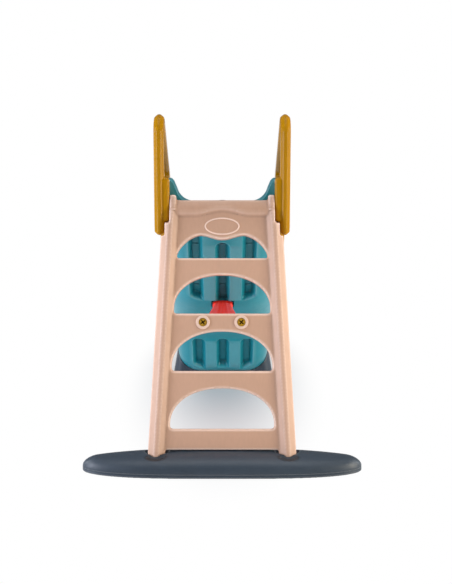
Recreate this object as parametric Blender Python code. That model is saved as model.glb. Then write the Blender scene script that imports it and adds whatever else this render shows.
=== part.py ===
"""Kids water slide: a leaning stepped ladder, a double-curved chute, two loop handrails, a wide base bar,
a front foot, a strut between ladder and chute, and a garden-hose inlet under the deck.

Metres, +Z up, +Y down the slide, X across. The origin is the middle of the base bar's underside.
"""

import math

import bmesh
import bpy
from mathutils import Matrix, Vector

# Clearances
FIT_GAP = 0.0003
SCREW_HOLE_GAP = 0.0004
PANEL_TO_BASE_GAP = 0.0022

# Base bar
BASE_LENGTH = 0.785
BASE_DEPTH = 0.151
BASE_HEIGHT = 0.0552
BASE_SHOULDER_X = 0.350
BASE_SHOULDER_DROP = 0.0140
BASE_TIP_HEIGHT = 0.014
BASE_EDGE_HEIGHT = 0.006
BASE_PLAN_POWER = 3.4
BASE_SECTION_POWER = 2.5

# Ladder: lean, rails and the stepped panel between them
LADDER_LEAN = math.radians(16.7)
LADDER_FOOT_Y = -0.020
RAIL_FOOT_X = 0.1871
RAIL_TAPER = 0.0548
RAIL_WIDTH = 0.0493
RAIL_TOP_WIDTH = 0.0485
RAIL_REAR_N = 0.013
RAIL_FRONT_N = -0.037
RAIL_AXIS_N = 0.5 * (RAIL_REAR_N + RAIL_FRONT_N)
RAIL_FLAT_SHARE = 0.24
RAIL_CHAMFER = 0.015
RAIL_FRONT_CORNER = 0.010
RAIL_SIDE_CORNER = 0.006
RAIL_FLAT_CORNER = 0.0035
SOCKET_FLOOR = 0.016
SOCKET_DISH_WIDTH = 0.0095
SOCKET_DISH_DEPTH = 0.016
PANEL_DEPTH = 0.030
PANEL_EDGE = 0.0045
PANEL_OVER_DECK = 0.0167
FIRST_TREAD = 0.120
TOP_TREAD_DROP = 0.0045
STEP_BANDS = (0.0495, 0.0510, 0.0530)
OPENING_HALF_WIDTHS = (0.1475, 0.1433, 0.1383, 0.1318)
ARCH_POWER = 2.15
ARCH_SPRING = 0.010
OPENING_CORNER = 0.007
TOP_HUMP_HEIGHT = 0.0660
TOP_DIP_HEIGHT = 0.0535
TOP_HUMP_X = 0.0625
TOP_SHOULDER_POWER = 1.6
HEAD_DEPTH = 0.045
NOSING_BULGE = 0.008
NOSING_DROP_SIDE = 0.047
NOSING_DROP_MIDDLE = 0.033
RAIL_END_DROP = 0.029
RAIL_END_ROUNDING = 0.006
TONGUE_RISE = 0.0138
TONGUE_CORNER = 0.004
TONGUE_OUTER_X = 0.1507
TONGUE_INNER_X = 0.1315
TONGUE_FRONT_N = -0.030
TONGUE_REAR_N = 0.011
LEDGE_DROP = 0.1032
SHELF_DEPTH = 0.052
SHELF_HEIGHT = 0.030
SHELF_HALF_WIDTH = 0.105
OVAL_WIDTH = 0.100
OVAL_HEIGHT = 0.050
OVAL_DROP = 0.0762
OVAL_RING = 0.004
OVAL_RELIEF = 0.0018

# Chute: the side view of the sliding surface as straight legs with round bends, and its cross-section
DECK_HEIGHT = 0.722
CHUTE_TO_LADDER_GAP = 0.0019
DECK_LENGTH = 0.102
UPPER_SLOPE = math.radians(49.0)
MIDDLE_SLOPE = math.radians(37.0)
LOWER_SLOPE = math.radians(54.0)
UPPER_SLOPE_END = 0.5152 * DECK_HEIGHT
MIDDLE_SLOPE_END = 0.2839 * DECK_HEIGHT
RUNOUT_HEIGHT = 0.064
RUNOUT_END_Y = 1.500
DECK_BEND = 0.050
UPPER_BEND = 0.300
MIDDLE_BEND = 0.260
RUNOUT_BEND = 0.085
DECK_THICKNESS = 0.032
SLOPE_THICKNESS = 0.040
RUNOUT_BLEND = 0.16
FLOOR_HALF_WIDTH = 0.085
TROUGH_RADIUS = 0.050
TROUGH_ARC = math.radians(76.0)
WALL_TOP_X = 0.1430
WALL_TOP_HEIGHT = 0.0595
RIM_HEIGHT = 0.068
RIM_SIDE_LOW = 0.045
RIM_SIDE_HIGH = 0.052
RIM_TOP_X = 0.1535
OUTER_WALL_SPRING = 0.022
OUTER_WALL_DRAFT = 0.003
UNDERSIDE_HALF_WIDTH = 0.076
EXIT_ROUNDING = 0.030

# The chute is a little wider below the handrails than between them
SIDE_SPREAD = 0.0085
SPREAD_AHEAD = 0.030
SPREAD_RAMP = 0.080
SPREAD_FADE = 0.160
SPREAD_POWER = 4.0

# Stiffening grooves in the chute's underside
GROOVE_SPACING = 0.0844
GROOVE_MOUTH = 0.048
GROOVE_FLOOR = 0.019
GROOVE_DEPTH = 0.027
GROOVE_RAMP = 0.006
SIDE_GROOVES_START_Z = 0.8657 * DECK_HEIGHT
MIDDLE_GROOVE_START_Z = 0.8033 * DECK_HEIGHT
SIDE_GROOVES_END_Z = 0.5014 * DECK_HEIGHT
MIDDLE_GROOVE_END_Z = 0.4640 * DECK_HEIGHT
LOWER_GROOVES_START_Z = 0.2355 * DECK_HEIGHT
LOWER_GROOVES_END_Z = 0.040

# Front foot
FOOT_LENGTH = 0.455
FOOT_END_GAP = 0.060
FOOT_FRONT_Y = RUNOUT_END_Y - FOOT_END_GAP
FOOT_REAR_Y = FOOT_FRONT_Y - FOOT_LENGTH
FOOT_HALF_WIDTH = 0.182
FOOT_SIDE_DRAFT = 0.185
FOOT_HEIGHT = 0.094
FOOT_PLATE = 0.0105
FOOT_CORNER = 0.030

# Handrails: outline in the YZ plane
HANDRAIL_INNER_X = 0.1650
HANDRAIL_THICKNESS = 0.0295
HANDRAIL_EDGE = 0.0125
HANDRAIL_BAR = 0.035
HANDRAIL_BEHIND_DECK = 0.0625
HANDRAIL_LENGTH = 0.420
HANDRAIL_BOTTOM_Z = DECK_HEIGHT - 0.0845
HANDRAIL_TOP_Z = DECK_HEIGHT + 0.258
HANDRAIL_FALL = 0.65
HANDRAIL_TOP_BEND = 0.0576
HANDRAIL_FRONT_BOTTOM_Z = DECK_HEIGHT - 0.232
HANDRAIL_FRONT_FOOT = 0.048
HANDRAIL_FRONT_BEND = 0.060
WEB_TOP_Z = DECK_HEIGHT + 0.086
WEB_TOP_FALL = 0.135
WEB_BOTTOM_Z = DECK_HEIGHT - 0.054
WEB_TURN_AHEAD = 0.225
WEB_TURN_Z = DECK_HEIGHT - 0.046
WEB_RECESS = 0.006
WEB_MARGIN = 0.017
WEB_RECESS_CORNER = 0.012
WEB_RECESS_FRONT = 0.080
PAD_INSET = 0.0050
PAD_DEPTH = 0.0560
PAD_BOTTOM_Z = DECK_HEIGHT - 0.046
PAD_TOP_Z = WEB_TOP_Z - 0.003
PAD_TOP_DROP = 0.008
PAD_EDGE = 0.005

# Strut
BRACE_ROOT_DROP = 0.0251
BRACE_FLANGE_WIDTH = 0.156
BRACE_FLANGE_HEIGHT = 0.036
BRACE_FLANGE_THICKNESS = 0.006
BRACE_ROOT_WIDTH = 0.100
BRACE_NECK_WIDTH = 0.050
BRACE_NECK_BEFORE_END = 0.030
BRACE_HOLLOW_START = 0.045
BRACE_HOLLOW_SIDE = 0.012
BRACE_HEIGHT = 0.022
BRACE_HEAD_WIDTH = 0.0665
BRACE_HEAD_HEIGHT = 0.024
BRACE_HEAD_THICKNESS = 0.012
BRACE_END_AHEAD = 0.3845
POCKET_CLEARANCE = 0.004
POCKET_TOP_CLEARANCE = 0.002
POCKET_DROP = 0.018
POCKET_DEPTH = 0.016

# Fasteners
BRACE_SCREW_X = 0.0546
BRACE_SCREW_HEAD = 0.0235
BRACE_SCREW_SHANK = 0.013
BRACE_SCREW_LENGTH = 0.050
BRACE_SCREW_HEAD_HEIGHT = 0.006
BOSS_RING_WIDTH = 0.040
BOSS_RING_RELIEF = 0.003
SCREW_HEAD = 0.0130
SCREW_HEAD_HEIGHT = 0.0040
SCREW_SHANK = 0.0050
COUNTERBORE_DEPTH = 0.0055
WOOD_BITE = 0.014
RAIL_SCREW_RISE = 0.0185
DECK_SCREW_AHEAD = 0.0665
DECK_SCREW_H = 0.036
SIDE_SCREW_AHEAD = 0.2165
FOOT_SCREW_X = 0.050
FOOT_SCREW_Y = 0.5 * (FOOT_REAR_Y + FOOT_FRONT_Y)

# Water inlet under the deck
INLET_AHEAD = 0.0465
NOZZLE_FLANGE = 0.031
NOZZLE_FLANGE_HEIGHT = 0.0025
NOZZLE_STEM = 0.020
NOZZLE_BORE = 0.0125
NOZZLE_SLOTS = 5
GASKET_THICKNESS = 0.0015
LOCK_NUT_WIDTH = 0.032
LOCK_NUT_HEIGHT = 0.010
STEM_BELOW_NUT = 0.004
TAIL_NECK = 0.0155
TAIL_COLLAR = 0.0235
TAIL_COLLAR_HEIGHT = 0.0032
TAIL_BORE = 0.008
NUT_LIP = 0.005
NUT_CAVITY = 0.0262
NUT_WALL = 0.0038
NUT_HEIGHT = 0.028
NUT_LOBES = 8
NUT_LOBE_RELIEF = 0.0012
WASHER_THICKNESS = 0.003

# Roundness of the solids
ARC_STEP = math.radians(15.0)
ROUND_SEGMENTS = 20
CORNER_STEPS = 2
BASE_STATIONS = 26
BASE_RING_HALF = 9
EDGE_STEPS = 3

TEAL = (0.075, 0.330, 0.365)
CLAY_PINK = (0.640, 0.400, 0.310)
MUSTARD = (0.560, 0.330, 0.020)
SLATE = (0.085, 0.115, 0.150)
SIGNAL_RED = (0.850, 0.060, 0.035)
BLACK_RUBBER = (0.020, 0.020, 0.022)
STEEL = (0.550, 0.560, 0.580)


# Scene and materials


def clear_scene():
    for item in list(bpy.data.objects):
        bpy.data.objects.remove(item, do_unlink=True)


def finish_material(name, colour, roughness, metallic=0.0):
    material = bpy.data.materials.get(name) or bpy.data.materials.new(name)
    material.use_nodes = True
    shader = material.node_tree.nodes["Principled BSDF"]
    shader.inputs["Base Color"].default_value = (*colour, 1.0)
    shader.inputs["Roughness"].default_value = roughness
    shader.inputs["Metallic"].default_value = metallic
    return material


def add_object(name, bm, placement=None):
    bmesh.ops.remove_doubles(bm, verts=bm.verts, dist=1e-6)
    bmesh.ops.recalc_face_normals(bm, faces=bm.faces)
    mesh = bpy.data.meshes.new(name)
    bm.to_mesh(mesh)
    bm.free()
    item = bpy.data.objects.new(name, mesh)
    bpy.context.collection.objects.link(item)
    if placement is not None:
        item.matrix_world = placement
    bpy.context.view_layer.update()
    return item


def combine(body, tool, operation):
    """Apply one Boolean to body and take the tool away."""
    modifier = body.modifiers.new("combine", "BOOLEAN")
    modifier.operation = operation
    modifier.object = tool
    modifier.solver = "EXACT"
    bpy.context.view_layer.update()
    depsgraph = bpy.context.evaluated_depsgraph_get()
    mesh = bpy.data.meshes.new_from_object(body.evaluated_get(depsgraph))
    body.modifiers.remove(modifier)
    body.data = mesh
    bpy.data.objects.remove(tool, do_unlink=True)


def cut(body, tool):
    combine(body, tool, "DIFFERENCE")


def join(body, tool):
    combine(body, tool, "UNION")


def finish(item, material, smooth_angle=35.0):
    item.data.materials.clear()
    item.data.materials.append(material)
    item.data.shade_smooth()
    item.data.set_sharp_from_angle(angle=math.radians(smooth_angle))


def reflected(item, name):
    """A copy of a piece or tool, reflected across the slide's middle plane."""
    bm = bmesh.new()
    bm.from_mesh(item.data)
    bm.transform(item.matrix_world)
    bm.transform(Matrix.Scale(-1.0, 4, (1.0, 0.0, 0.0)))
    bmesh.ops.reverse_faces(bm, faces=bm.faces)
    return add_object(name, bm)


# Shape helpers


def loft(rings, name, placement=None):
    """A closed body through rings of equal point count, with its two ends capped."""
    bm = bmesh.new()
    loops = [[bm.verts.new(point) for point in ring] for ring in rings]
    for lower, upper in zip(loops, loops[1:]):
        for index in range(len(lower)):
            after = (index + 1) % len(lower)
            bm.faces.new((lower[index], lower[after], upper[after], upper[index]))
    bm.faces.new(reversed(loops[0]))
    bm.faces.new(loops[-1])
    return add_object(name, bm, placement)


def box(name, low, high, placement=None):
    rings = [
        [(low[0], low[1], z), (high[0], low[1], z), (high[0], high[1], z), (low[0], high[1], z)]
        for z in (low[2], high[2])
    ]
    return loft(rings, name, placement)


def turned(profile, name, placement=None, segments=ROUND_SEGMENTS):
    """A turned body about its Z axis from (radius, height) points; a radius of 0 ends on the axis."""
    bm = bmesh.new()
    loops = []
    for radius, height in profile:
        if radius == 0.0:
            loops.append([bm.verts.new((0.0, 0.0, height))] * segments)
            continue
        angles = [2.0 * math.pi * step / segments for step in range(segments)]
        loops.append(
            [bm.verts.new((radius * math.cos(a), radius * math.sin(a), height)) for a in angles]
        )
    closed_tube = profile[0][0] > 0.0
    pairs = list(zip(loops, loops[1:]))
    if closed_tube:
        pairs.append((loops[-1], loops[0]))
    for lower, upper in pairs:
        for index in range(segments):
            after = (index + 1) % segments
            corners = []
            for vertex in (lower[index], lower[after], upper[after], upper[index]):
                if vertex not in corners:
                    corners.append(vertex)
            bm.faces.new(corners)
    return add_object(name, bm, placement)


def rounded_outline(corners, corner_steps=0):
    """Points of a polygon whose corners are (a, b, radius), with each corner drawn as an arc.

    The arcs get as many points as their turn needs, or corner_steps each where that is given.
    """
    points = []
    count = len(corners)
    for index, (a, b, radius) in enumerate(corners):
        corner = Vector((a, b))
        before = (Vector(corners[index - 1][:2]) - corner).normalized()
        after = (Vector(corners[(index + 1) % count][:2]) - corner).normalized()
        opening = before.angle(after)
        if radius <= 0.0 or opening > math.pi - 1e-4:
            points.append(corner)
            continue
        reach = radius / math.tan(opening / 2.0)
        centre = corner + (before + after).normalized() * radius / math.sin(opening / 2.0)
        start = corner + before * reach - centre
        sweep = math.pi - opening
        turn = 1.0 if before.cross(after) < 0.0 else -1.0
        steps = corner_steps or max(2, math.ceil(sweep / ARC_STEP))
        for step in range(steps + 1):
            points.append(centre + Matrix.Rotation(turn * sweep * step / steps, 2) @ start)
    return points


def inset(points, distance):
    """The same closed outline moved to its left by distance; a counterclockwise one shrinks."""
    moved = []
    count = len(points)
    for index, point in enumerate(points):
        ahead = (points[(index + 1) % count] - point).normalized()
        behind = (point - points[index - 1]).normalized()
        left = (Vector((-ahead.y, ahead.x)) + Vector((-behind.y, behind.x))).normalized()
        stretch = max(0.5, left.dot(Vector((-ahead.y, ahead.x))))
        moved.append(point + left * distance / stretch)
    return moved


def counterclockwise(points):
    area = sum(a.cross(b) for a, b in zip(points, points[1:] + points[:1]))
    return points if area > 0.0 else points[::-1]


def edge_levels(low, high, edge):
    """(inset, level) pairs that round both edges of a plate between two levels."""
    levels = []
    for step in range(EDGE_STEPS + 1):
        angle = 0.5 * math.pi * step / EDGE_STEPS
        levels.append((edge * (1.0 - math.sin(angle)), low + edge * (1.0 - math.cos(angle))))
    return levels + [(inward, low + high - level) for inward, level in reversed(levels)]


def rounded_plate(outline, low, high, edge, name, placement=None):
    """A plate between two levels with its outer edges rounded."""
    outline = counterclockwise(outline)
    rings = []
    for inward, level in edge_levels(low, high, edge):
        rings.append([(point.x, point.y, level) for point in inset(outline, inward)])
    return loft(rings, name, placement)


def flared_hole(outline, low, high, edge, placement=None):
    """The cutter for an opening through such a plate, with the opening's edges rounded."""
    outline = counterclockwise(outline)
    levels = edge_levels(low, high, edge)
    levels = [(levels[0][0], low - edge)] + levels + [(levels[-1][0], high + edge)]
    rings = []
    for outward, level in levels:
        rings.append([(point.x, point.y, level) for point in inset(outline, -outward)])
    return loft(rings, "hole", placement)


def superellipse_ring(centre_a, centre_b, half_a, half_b, power, segments):
    ring = []
    for step in range(segments):
        angle = 2.0 * math.pi * step / segments
        a = math.copysign(abs(math.cos(angle)) ** (2.0 / power), math.cos(angle))
        b = math.copysign(abs(math.sin(angle)) ** (2.0 / power), math.sin(angle))
        ring.append((centre_a + half_a * a, centre_b + half_b * b))
    return ring


# Ladder frame of reference: x across, v up the slope, n out towards the climber

SIN_LEAN = math.sin(LADDER_LEAN)
COS_LEAN = math.cos(LADDER_LEAN)
LADDER_PLACE = Matrix(
    (
        (1.0, 0.0, 0.0, 0.0),
        (0.0, SIN_LEAN, -COS_LEAN, LADDER_FOOT_Y),
        (0.0, COS_LEAN, SIN_LEAN, 0.0),
        (0.0, 0.0, 0.0, 1.0),
    )
)
SHELL_GAP_X = HANDRAIL_INNER_X - FIT_GAP


def ladder_v(height, n):
    """How far up the ladder a point lies, from its world height and its distance out."""
    return (height - n * SIN_LEAN) / COS_LEAN


PANEL_TOP_V = ladder_v(DECK_HEIGHT + PANEL_OVER_DECK, 0.0)
TREAD_RISE = (PANEL_TOP_V - FIRST_TREAD) / 4.0
TREADS = [FIRST_TREAD + TREAD_RISE * count for count in range(5)]
TREADS[3] -= TOP_TREAD_DROP
RAIL_END_V = PANEL_TOP_V - RAIL_END_DROP
TONGUE_TOP_V = PANEL_TOP_V + TONGUE_RISE
LEDGE_V = PANEL_TOP_V - LEDGE_DROP
OVAL_V = PANEL_TOP_V - OVAL_DROP
BRACE_ROOT_V = TREADS[2] - BRACE_ROOT_DROP

# Places along the slide, measured from the deck's rear edge, which stands against the ladder's head
HEAD_FRONT_V = ladder_v(DECK_HEIGHT, -HEAD_DEPTH)
HEAD_FRONT_Y = LADDER_FOOT_Y + HEAD_FRONT_V * SIN_LEAN + HEAD_DEPTH * COS_LEAN
DECK_REAR_Y = HEAD_FRONT_Y + CHUTE_TO_LADDER_GAP
HANDRAIL_REAR_Y = DECK_REAR_Y - HANDRAIL_BEHIND_DECK
HANDRAIL_FRONT_Y = HANDRAIL_REAR_Y + HANDRAIL_LENGTH
WEB_TURN_Y = HANDRAIL_REAR_Y + WEB_TURN_AHEAD
PAD_REAR_Y = HANDRAIL_REAR_Y + PAD_INSET
PAD_FRONT_Y = PAD_REAR_Y + PAD_DEPTH
BRACE_END_Y = DECK_REAR_Y + BRACE_END_AHEAD
RAIL_SCREW_Y = HANDRAIL_REAR_Y + 0.5 * HANDRAIL_BAR
RAIL_SCREW_Z = HANDRAIL_BOTTOM_Z + RAIL_SCREW_RISE
DECK_SCREW_Y = DECK_REAR_Y + DECK_SCREW_AHEAD
SIDE_SCREW_Y = DECK_REAR_Y + SIDE_SCREW_AHEAD
INLET_Y = DECK_REAR_Y + INLET_AHEAD


def rail_x(v):
    return RAIL_FOOT_X - RAIL_TAPER * v


def rail_half_width(v):
    share = v / PANEL_TOP_V
    return 0.5 * (RAIL_WIDTH + (RAIL_TOP_WIDTH - RAIL_WIDTH) * share)


def rail_ring(v, grow=0.0):
    """One cross-section of the right-hand rail, square to the ladder."""
    return rail_section(lambda n: v, grow)


def level_rail_ring(level, grow=0.0):
    """The same tapering rail cut by a horizontal plane."""
    return rail_section(lambda n: ladder_v(level, n), grow)


def rail_section(v_at, grow):
    """A flat back between two wide chamfers, upright sides and a rounded front."""
    rear = RAIL_REAR_N + grow
    front = RAIL_FRONT_N - grow
    half = rail_half_width(v_at(RAIL_AXIS_N))
    wide = half + grow
    flat = RAIL_FLAT_SHARE * wide
    outline = rounded_outline(
        [
            (wide, front, RAIL_FRONT_CORNER),
            (wide, rear - RAIL_CHAMFER, RAIL_SIDE_CORNER),
            (flat, rear, RAIL_FLAT_CORNER),
            (-flat, rear, RAIL_FLAT_CORNER),
            (-wide, rear - RAIL_CHAMFER, RAIL_SIDE_CORNER),
            (-wide, front, RAIL_FRONT_CORNER),
        ],
        CORNER_STEPS,
    )
    ring = []
    for point in outline:
        v = v_at(point.y)
        ring.append((rail_x(v) + point.x, v, point.y))
    return ring


def tongue_section(v, grow):
    """The tongue above a rail's end, with as many points round it as the rail has."""
    outer = TONGUE_OUTER_X + min(grow, 0.0)
    inner = TONGUE_INNER_X - grow
    rear = TONGUE_REAR_N + grow
    front = TONGUE_FRONT_N - grow
    corner = TONGUE_CORNER
    outline = rounded_outline(
        [
            (outer, front, 0.5 * corner),
            (outer, rear - corner, 0.5 * corner),
            (outer - corner, rear, 0.5 * corner),
            (inner + corner, rear, 0.5 * corner),
            (inner, rear - corner, 0.5 * corner),
            (inner, front, 0.5 * corner),
        ],
        CORNER_STEPS,
    )
    return [(point.x, v, point.y) for point in outline]


def build_rail():
    """One rail: a tapering chamfered tube form whose end carries a narrower tongue."""
    rounding = RAIL_END_ROUNDING
    rings = [
        level_rail_ring(SOCKET_FLOOR + FIT_GAP),
        rail_ring(RAIL_END_V - rounding),
        rail_ring(RAIL_END_V - 0.3 * rounding, -0.25 * rounding),
        tongue_section(RAIL_END_V, 0.25 * rounding),
        tongue_section(RAIL_END_V + 0.5 * rounding, 0.0),
        tongue_section(TONGUE_TOP_V - TONGUE_CORNER, 0.0),
        tongue_section(TONGUE_TOP_V - 0.3 * TONGUE_CORNER, -0.3 * TONGUE_CORNER),
        tongue_section(TONGUE_TOP_V, -TONGUE_CORNER),
    ]
    return loft(rings, "rail", LADDER_PLACE)


def arch_outline(tread, half_width, height):
    """An opening with short upright sides and a flattened arch over a straight tread."""
    spring = tread + ARCH_SPRING
    rise = height - ARCH_SPRING
    points = [
        Vector((-half_width + OPENING_CORNER, tread)),
        Vector((half_width - OPENING_CORNER, tread)),
    ]
    corner = Vector((half_width - OPENING_CORNER, tread + OPENING_CORNER))
    for step in range(1, 4):
        angle = -0.5 * math.pi + 0.5 * math.pi * step / 3
        points.append(corner + OPENING_CORNER * Vector((math.cos(angle), math.sin(angle))))
    arch_steps = 18
    for step in range(1, arch_steps):
        angle = math.pi * step / arch_steps
        a = math.copysign(abs(math.cos(angle)) ** (2.0 / ARCH_POWER), math.cos(angle))
        b = abs(math.sin(angle)) ** (2.0 / ARCH_POWER)
        points.append(Vector((half_width * a, spring + rise * b)))
    corner = Vector((-half_width + OPENING_CORNER, tread + OPENING_CORNER))
    for step in range(0, 3):
        angle = math.pi + 0.5 * math.pi * step / 3
        points.append(corner + OPENING_CORNER * Vector((math.cos(angle), math.sin(angle))))
    return points


def top_opening_outline(tread, half_width):
    """The top opening: two humps with a dip under the oval plate between them."""
    points = [Vector((-half_width, tread)), Vector((half_width, tread))]
    shoulder_steps = 7
    shoulder = half_width - TOP_HUMP_X
    right = []
    for step in range(1, shoulder_steps + 1):
        angle = 0.5 * math.pi * step / shoulder_steps
        a = math.cos(angle) ** (2.0 / TOP_SHOULDER_POWER)
        b = math.sin(angle) ** (2.0 / TOP_SHOULDER_POWER)
        right.append(Vector((TOP_HUMP_X + shoulder * a, tread + TOP_HUMP_HEIGHT * b)))
    middle = 0.5 * (TOP_HUMP_HEIGHT + TOP_DIP_HEIGHT)
    swing = 0.5 * (TOP_HUMP_HEIGHT - TOP_DIP_HEIGHT)
    dip_steps = 5
    for step in range(1, dip_steps):
        x = TOP_HUMP_X * (1.0 - step / dip_steps)
        height = middle - swing * math.cos(math.pi * x / TOP_HUMP_X)
        right.append(Vector((x, tread + height)))
    left = [Vector((-point.x, point.y)) for point in reversed(right)]
    return points + right + [Vector((0.0, tread + TOP_DIP_HEIGHT))] + left


def build_nosing():
    """The rolled top edge of the ladder, which bulges to the rear and has a wavy lower line."""
    width_steps = 14
    half = rail_x(PANEL_TOP_V) - 0.5 * rail_half_width(PANEL_TOP_V)
    rings = []
    for step in range(width_steps + 1):
        x = half * (2.0 * step / width_steps - 1.0)
        wave = 0.5 * (1.0 + math.cos(math.pi * min(1.0, abs(x) / (0.62 * half))))
        drop = NOSING_DROP_SIDE + (NOSING_DROP_MIDDLE - NOSING_DROP_SIDE) * wave
        top = PANEL_TOP_V
        rings.append(
            [
                (x, top - drop, -0.001),
                (x, top - 0.96 * drop, 0.62 * NOSING_BULGE),
                (x, top - 0.84 * drop, 0.94 * NOSING_BULGE),
                (x, top - 0.68 * drop, NOSING_BULGE),
                (x, top - 0.48 * drop, 0.88 * NOSING_BULGE),
                (x, top - 0.28 * drop, 0.60 * NOSING_BULGE),
                (x, top - 0.12 * drop, 0.15 * NOSING_BULGE),
                (x, top - 0.0012, -0.003),
                (x, top, -0.006),
                (x, top, -HEAD_DEPTH + 0.004),
                (x, top - 0.004, -HEAD_DEPTH),
                (x, top - NOSING_DROP_SIDE, -HEAD_DEPTH),
                (x, top - NOSING_DROP_SIDE - 0.012, -PANEL_DEPTH + 0.002),
            ]
        )
    return loft(rings, "nosing", LADDER_PLACE)


def build_ladder(material):
    inner_reach = rail_x(0.0) - 0.25 * RAIL_WIDTH
    top_reach = rail_x(PANEL_TOP_V) - 0.25 * RAIL_WIDTH
    bottom_v = ladder_v(SOCKET_FLOOR, 0.0)
    outline = [
        Vector((-inner_reach, bottom_v)),
        Vector((inner_reach, bottom_v)),
        Vector((top_reach, PANEL_TOP_V)),
        Vector((-top_reach, PANEL_TOP_V)),
    ]
    holes = []
    for count in range(3):
        height = TREAD_RISE - STEP_BANDS[count]
        holes.append(arch_outline(TREADS[count], OPENING_HALF_WIDTHS[count], height))
    holes.append(top_opening_outline(TREADS[3], OPENING_HALF_WIDTHS[3]))
    ladder = rounded_plate(
        outline, -PANEL_DEPTH, 0.0, PANEL_EDGE, "ladder_frame", LADDER_PLACE
    )
    for hole in holes:
        cut(ladder, flared_hole(hole, -PANEL_DEPTH, 0.0, PANEL_EDGE, LADDER_PLACE))
    reach = 2.0 * RAIL_FOOT_X
    trim_top = BASE_HEIGHT + PANEL_TO_BASE_GAP
    cut(ladder, box("trim", (-reach, -reach, -0.05), (reach, reach, trim_top)))
    join(ladder, build_nosing())
    rail = build_rail()
    other = reflected(rail, "other_rail")
    join(ladder, rail)
    join(ladder, other)

    shelf_top = DECK_HEIGHT - DECK_THICKNESS - FIT_GAP
    front_y = LADDER_FOOT_Y + SIN_LEAN * ladder_v(shelf_top, -PANEL_DEPTH)
    shelf = box(
        "shelf",
        (-SHELF_HALF_WIDTH, front_y, shelf_top - SHELF_HEIGHT),
        (SHELF_HALF_WIDTH, front_y + SHELF_DEPTH, shelf_top),
    )
    join(ladder, shelf)

    for side in (-1.0, 1.0):
        ledge = box(
            "ledge",
            (min(side * SHELL_GAP_X, side * 0.3), LEDGE_V, -0.1),
            (max(side * SHELL_GAP_X, side * 0.3), LEDGE_V + 0.2, 0.1),
            LADDER_PLACE,
        )
        cut(ladder, ledge)
        room = box(
            "room",
            (min(side * TONGUE_OUTER_X, side * 0.3), -0.1, PAD_BOTTOM_Z - FIT_GAP),
            (max(side * TONGUE_OUTER_X, side * 0.3), 0.5, 1.0),
        )
        cut(ladder, room)

    seat = handrail_pad(FIT_GAP)
    other = reflected(seat, "other_seat")
    cut(ladder, seat)
    cut(ladder, other)

    oval = turned_oval_ring()
    join(ladder, oval)
    for side in (-1.0, 1.0):
        place = LADDER_PLACE @ Matrix.Translation((side * BRACE_SCREW_X, BRACE_ROOT_V, 0.0))
        ring_radius = 0.5 * BOSS_RING_WIDTH
        boss = turned(
            [
                (0.0, -0.004),
                (ring_radius, -0.004),
                (ring_radius, 0.35 * BOSS_RING_RELIEF),
                (ring_radius - 0.002, BOSS_RING_RELIEF),
                (0.0, BOSS_RING_RELIEF),
            ],
            "boss",
            place,
        )
        join(ladder, boss)
        bore = 0.5 * BRACE_SCREW_SHANK + SCREW_HOLE_GAP
        seat = 0.5 * BRACE_SCREW_HEAD + SCREW_HOLE_GAP
        hole = turned(
            [
                (0.0, -0.1),
                (bore, -0.1),
                (bore, BOSS_RING_RELIEF - BRACE_SCREW_HEAD_HEIGHT),
                (seat, BOSS_RING_RELIEF - BRACE_SCREW_HEAD_HEIGHT),
                (seat, 0.02),
                (0.0, 0.02),
            ],
            "hole",
            place @ Matrix.Rotation(math.radians(5.0), 4, "Z"),
        )
        cut(ladder, hole)
        cut(ladder, drill(foot_screw_place(side), WOOD_BITE))
        cut(ladder, drill(handrail_screw_place(side, RAIL_SCREW_Y, RAIL_SCREW_Z), WOOD_BITE))
    finish(ladder, material)
    return ladder


def turned_oval_ring():
    """A flat raised oval ring round a bare plate on the top panel."""
    segments = 28
    rings = []
    for width, height, level in (
        (0.0, 0.0, -0.004),
        (0.0, 0.0, 0.5 * OVAL_RELIEF),
        (OVAL_RING / 4, OVAL_RING / 4, OVAL_RELIEF),
        (0.75 * OVAL_RING, 0.75 * OVAL_RING, OVAL_RELIEF),
        (OVAL_RING, OVAL_RING, 0.5 * OVAL_RELIEF),
        (OVAL_RING, OVAL_RING, -0.004),
    ):
        ring = superellipse_ring(
            0.0, OVAL_V, 0.5 * OVAL_WIDTH - width, 0.5 * OVAL_HEIGHT - height, 2.0, segments
        )
        rings.append([(x, v, level) for x, v in ring])
    bm = bmesh.new()
    loops = [[bm.verts.new(point) for point in ring] for ring in rings]
    for lower, upper in zip(loops, loops[1:] + loops[:1]):
        for index in range(segments):
            after = (index + 1) % segments
            bm.faces.new((lower[index], lower[after], upper[after], upper[index]))
    return add_object("oval_ring", bm, LADDER_PLACE)


# Screws: a place is a frame whose Z axis points the way the screw is driven out


def handrail_screw_place(side, y, z):
    """On a handrail's outer face, looking outwards."""
    outer = HANDRAIL_INNER_X + HANDRAIL_THICKNESS
    turn = Matrix.Rotation(side * 0.5 * math.pi, 4, "Y")
    return Matrix.Translation((side * outer, y, z)) @ turn


def foot_screw_place(side):
    """Under the base bar, in line with a rail's foot."""
    level = SOCKET_FLOOR
    n = RAIL_AXIS_N
    v = ladder_v(level, n)
    y = LADDER_FOOT_Y + v * SIN_LEAN - n * COS_LEAN
    return Matrix.Translation((side * rail_x(v), y, 0.0)) @ Matrix.Rotation(math.pi, 4, "X")


def front_foot_screw_place(side):
    return Matrix.Translation((side * FOOT_SCREW_X, FOOT_SCREW_Y, 0.0)) @ Matrix.Rotation(
        math.pi, 4, "X"
    )


def thickness_under(place):
    """How much material a screw's head clamps, from the face it enters to the piece behind."""
    if place.translation.z < 0.5 * SOCKET_FLOOR:
        return FOOT_PLATE if place.translation.y > 0.5 * FOOT_REAR_Y else SOCKET_FLOOR
    return HANDRAIL_THICKNESS


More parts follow.
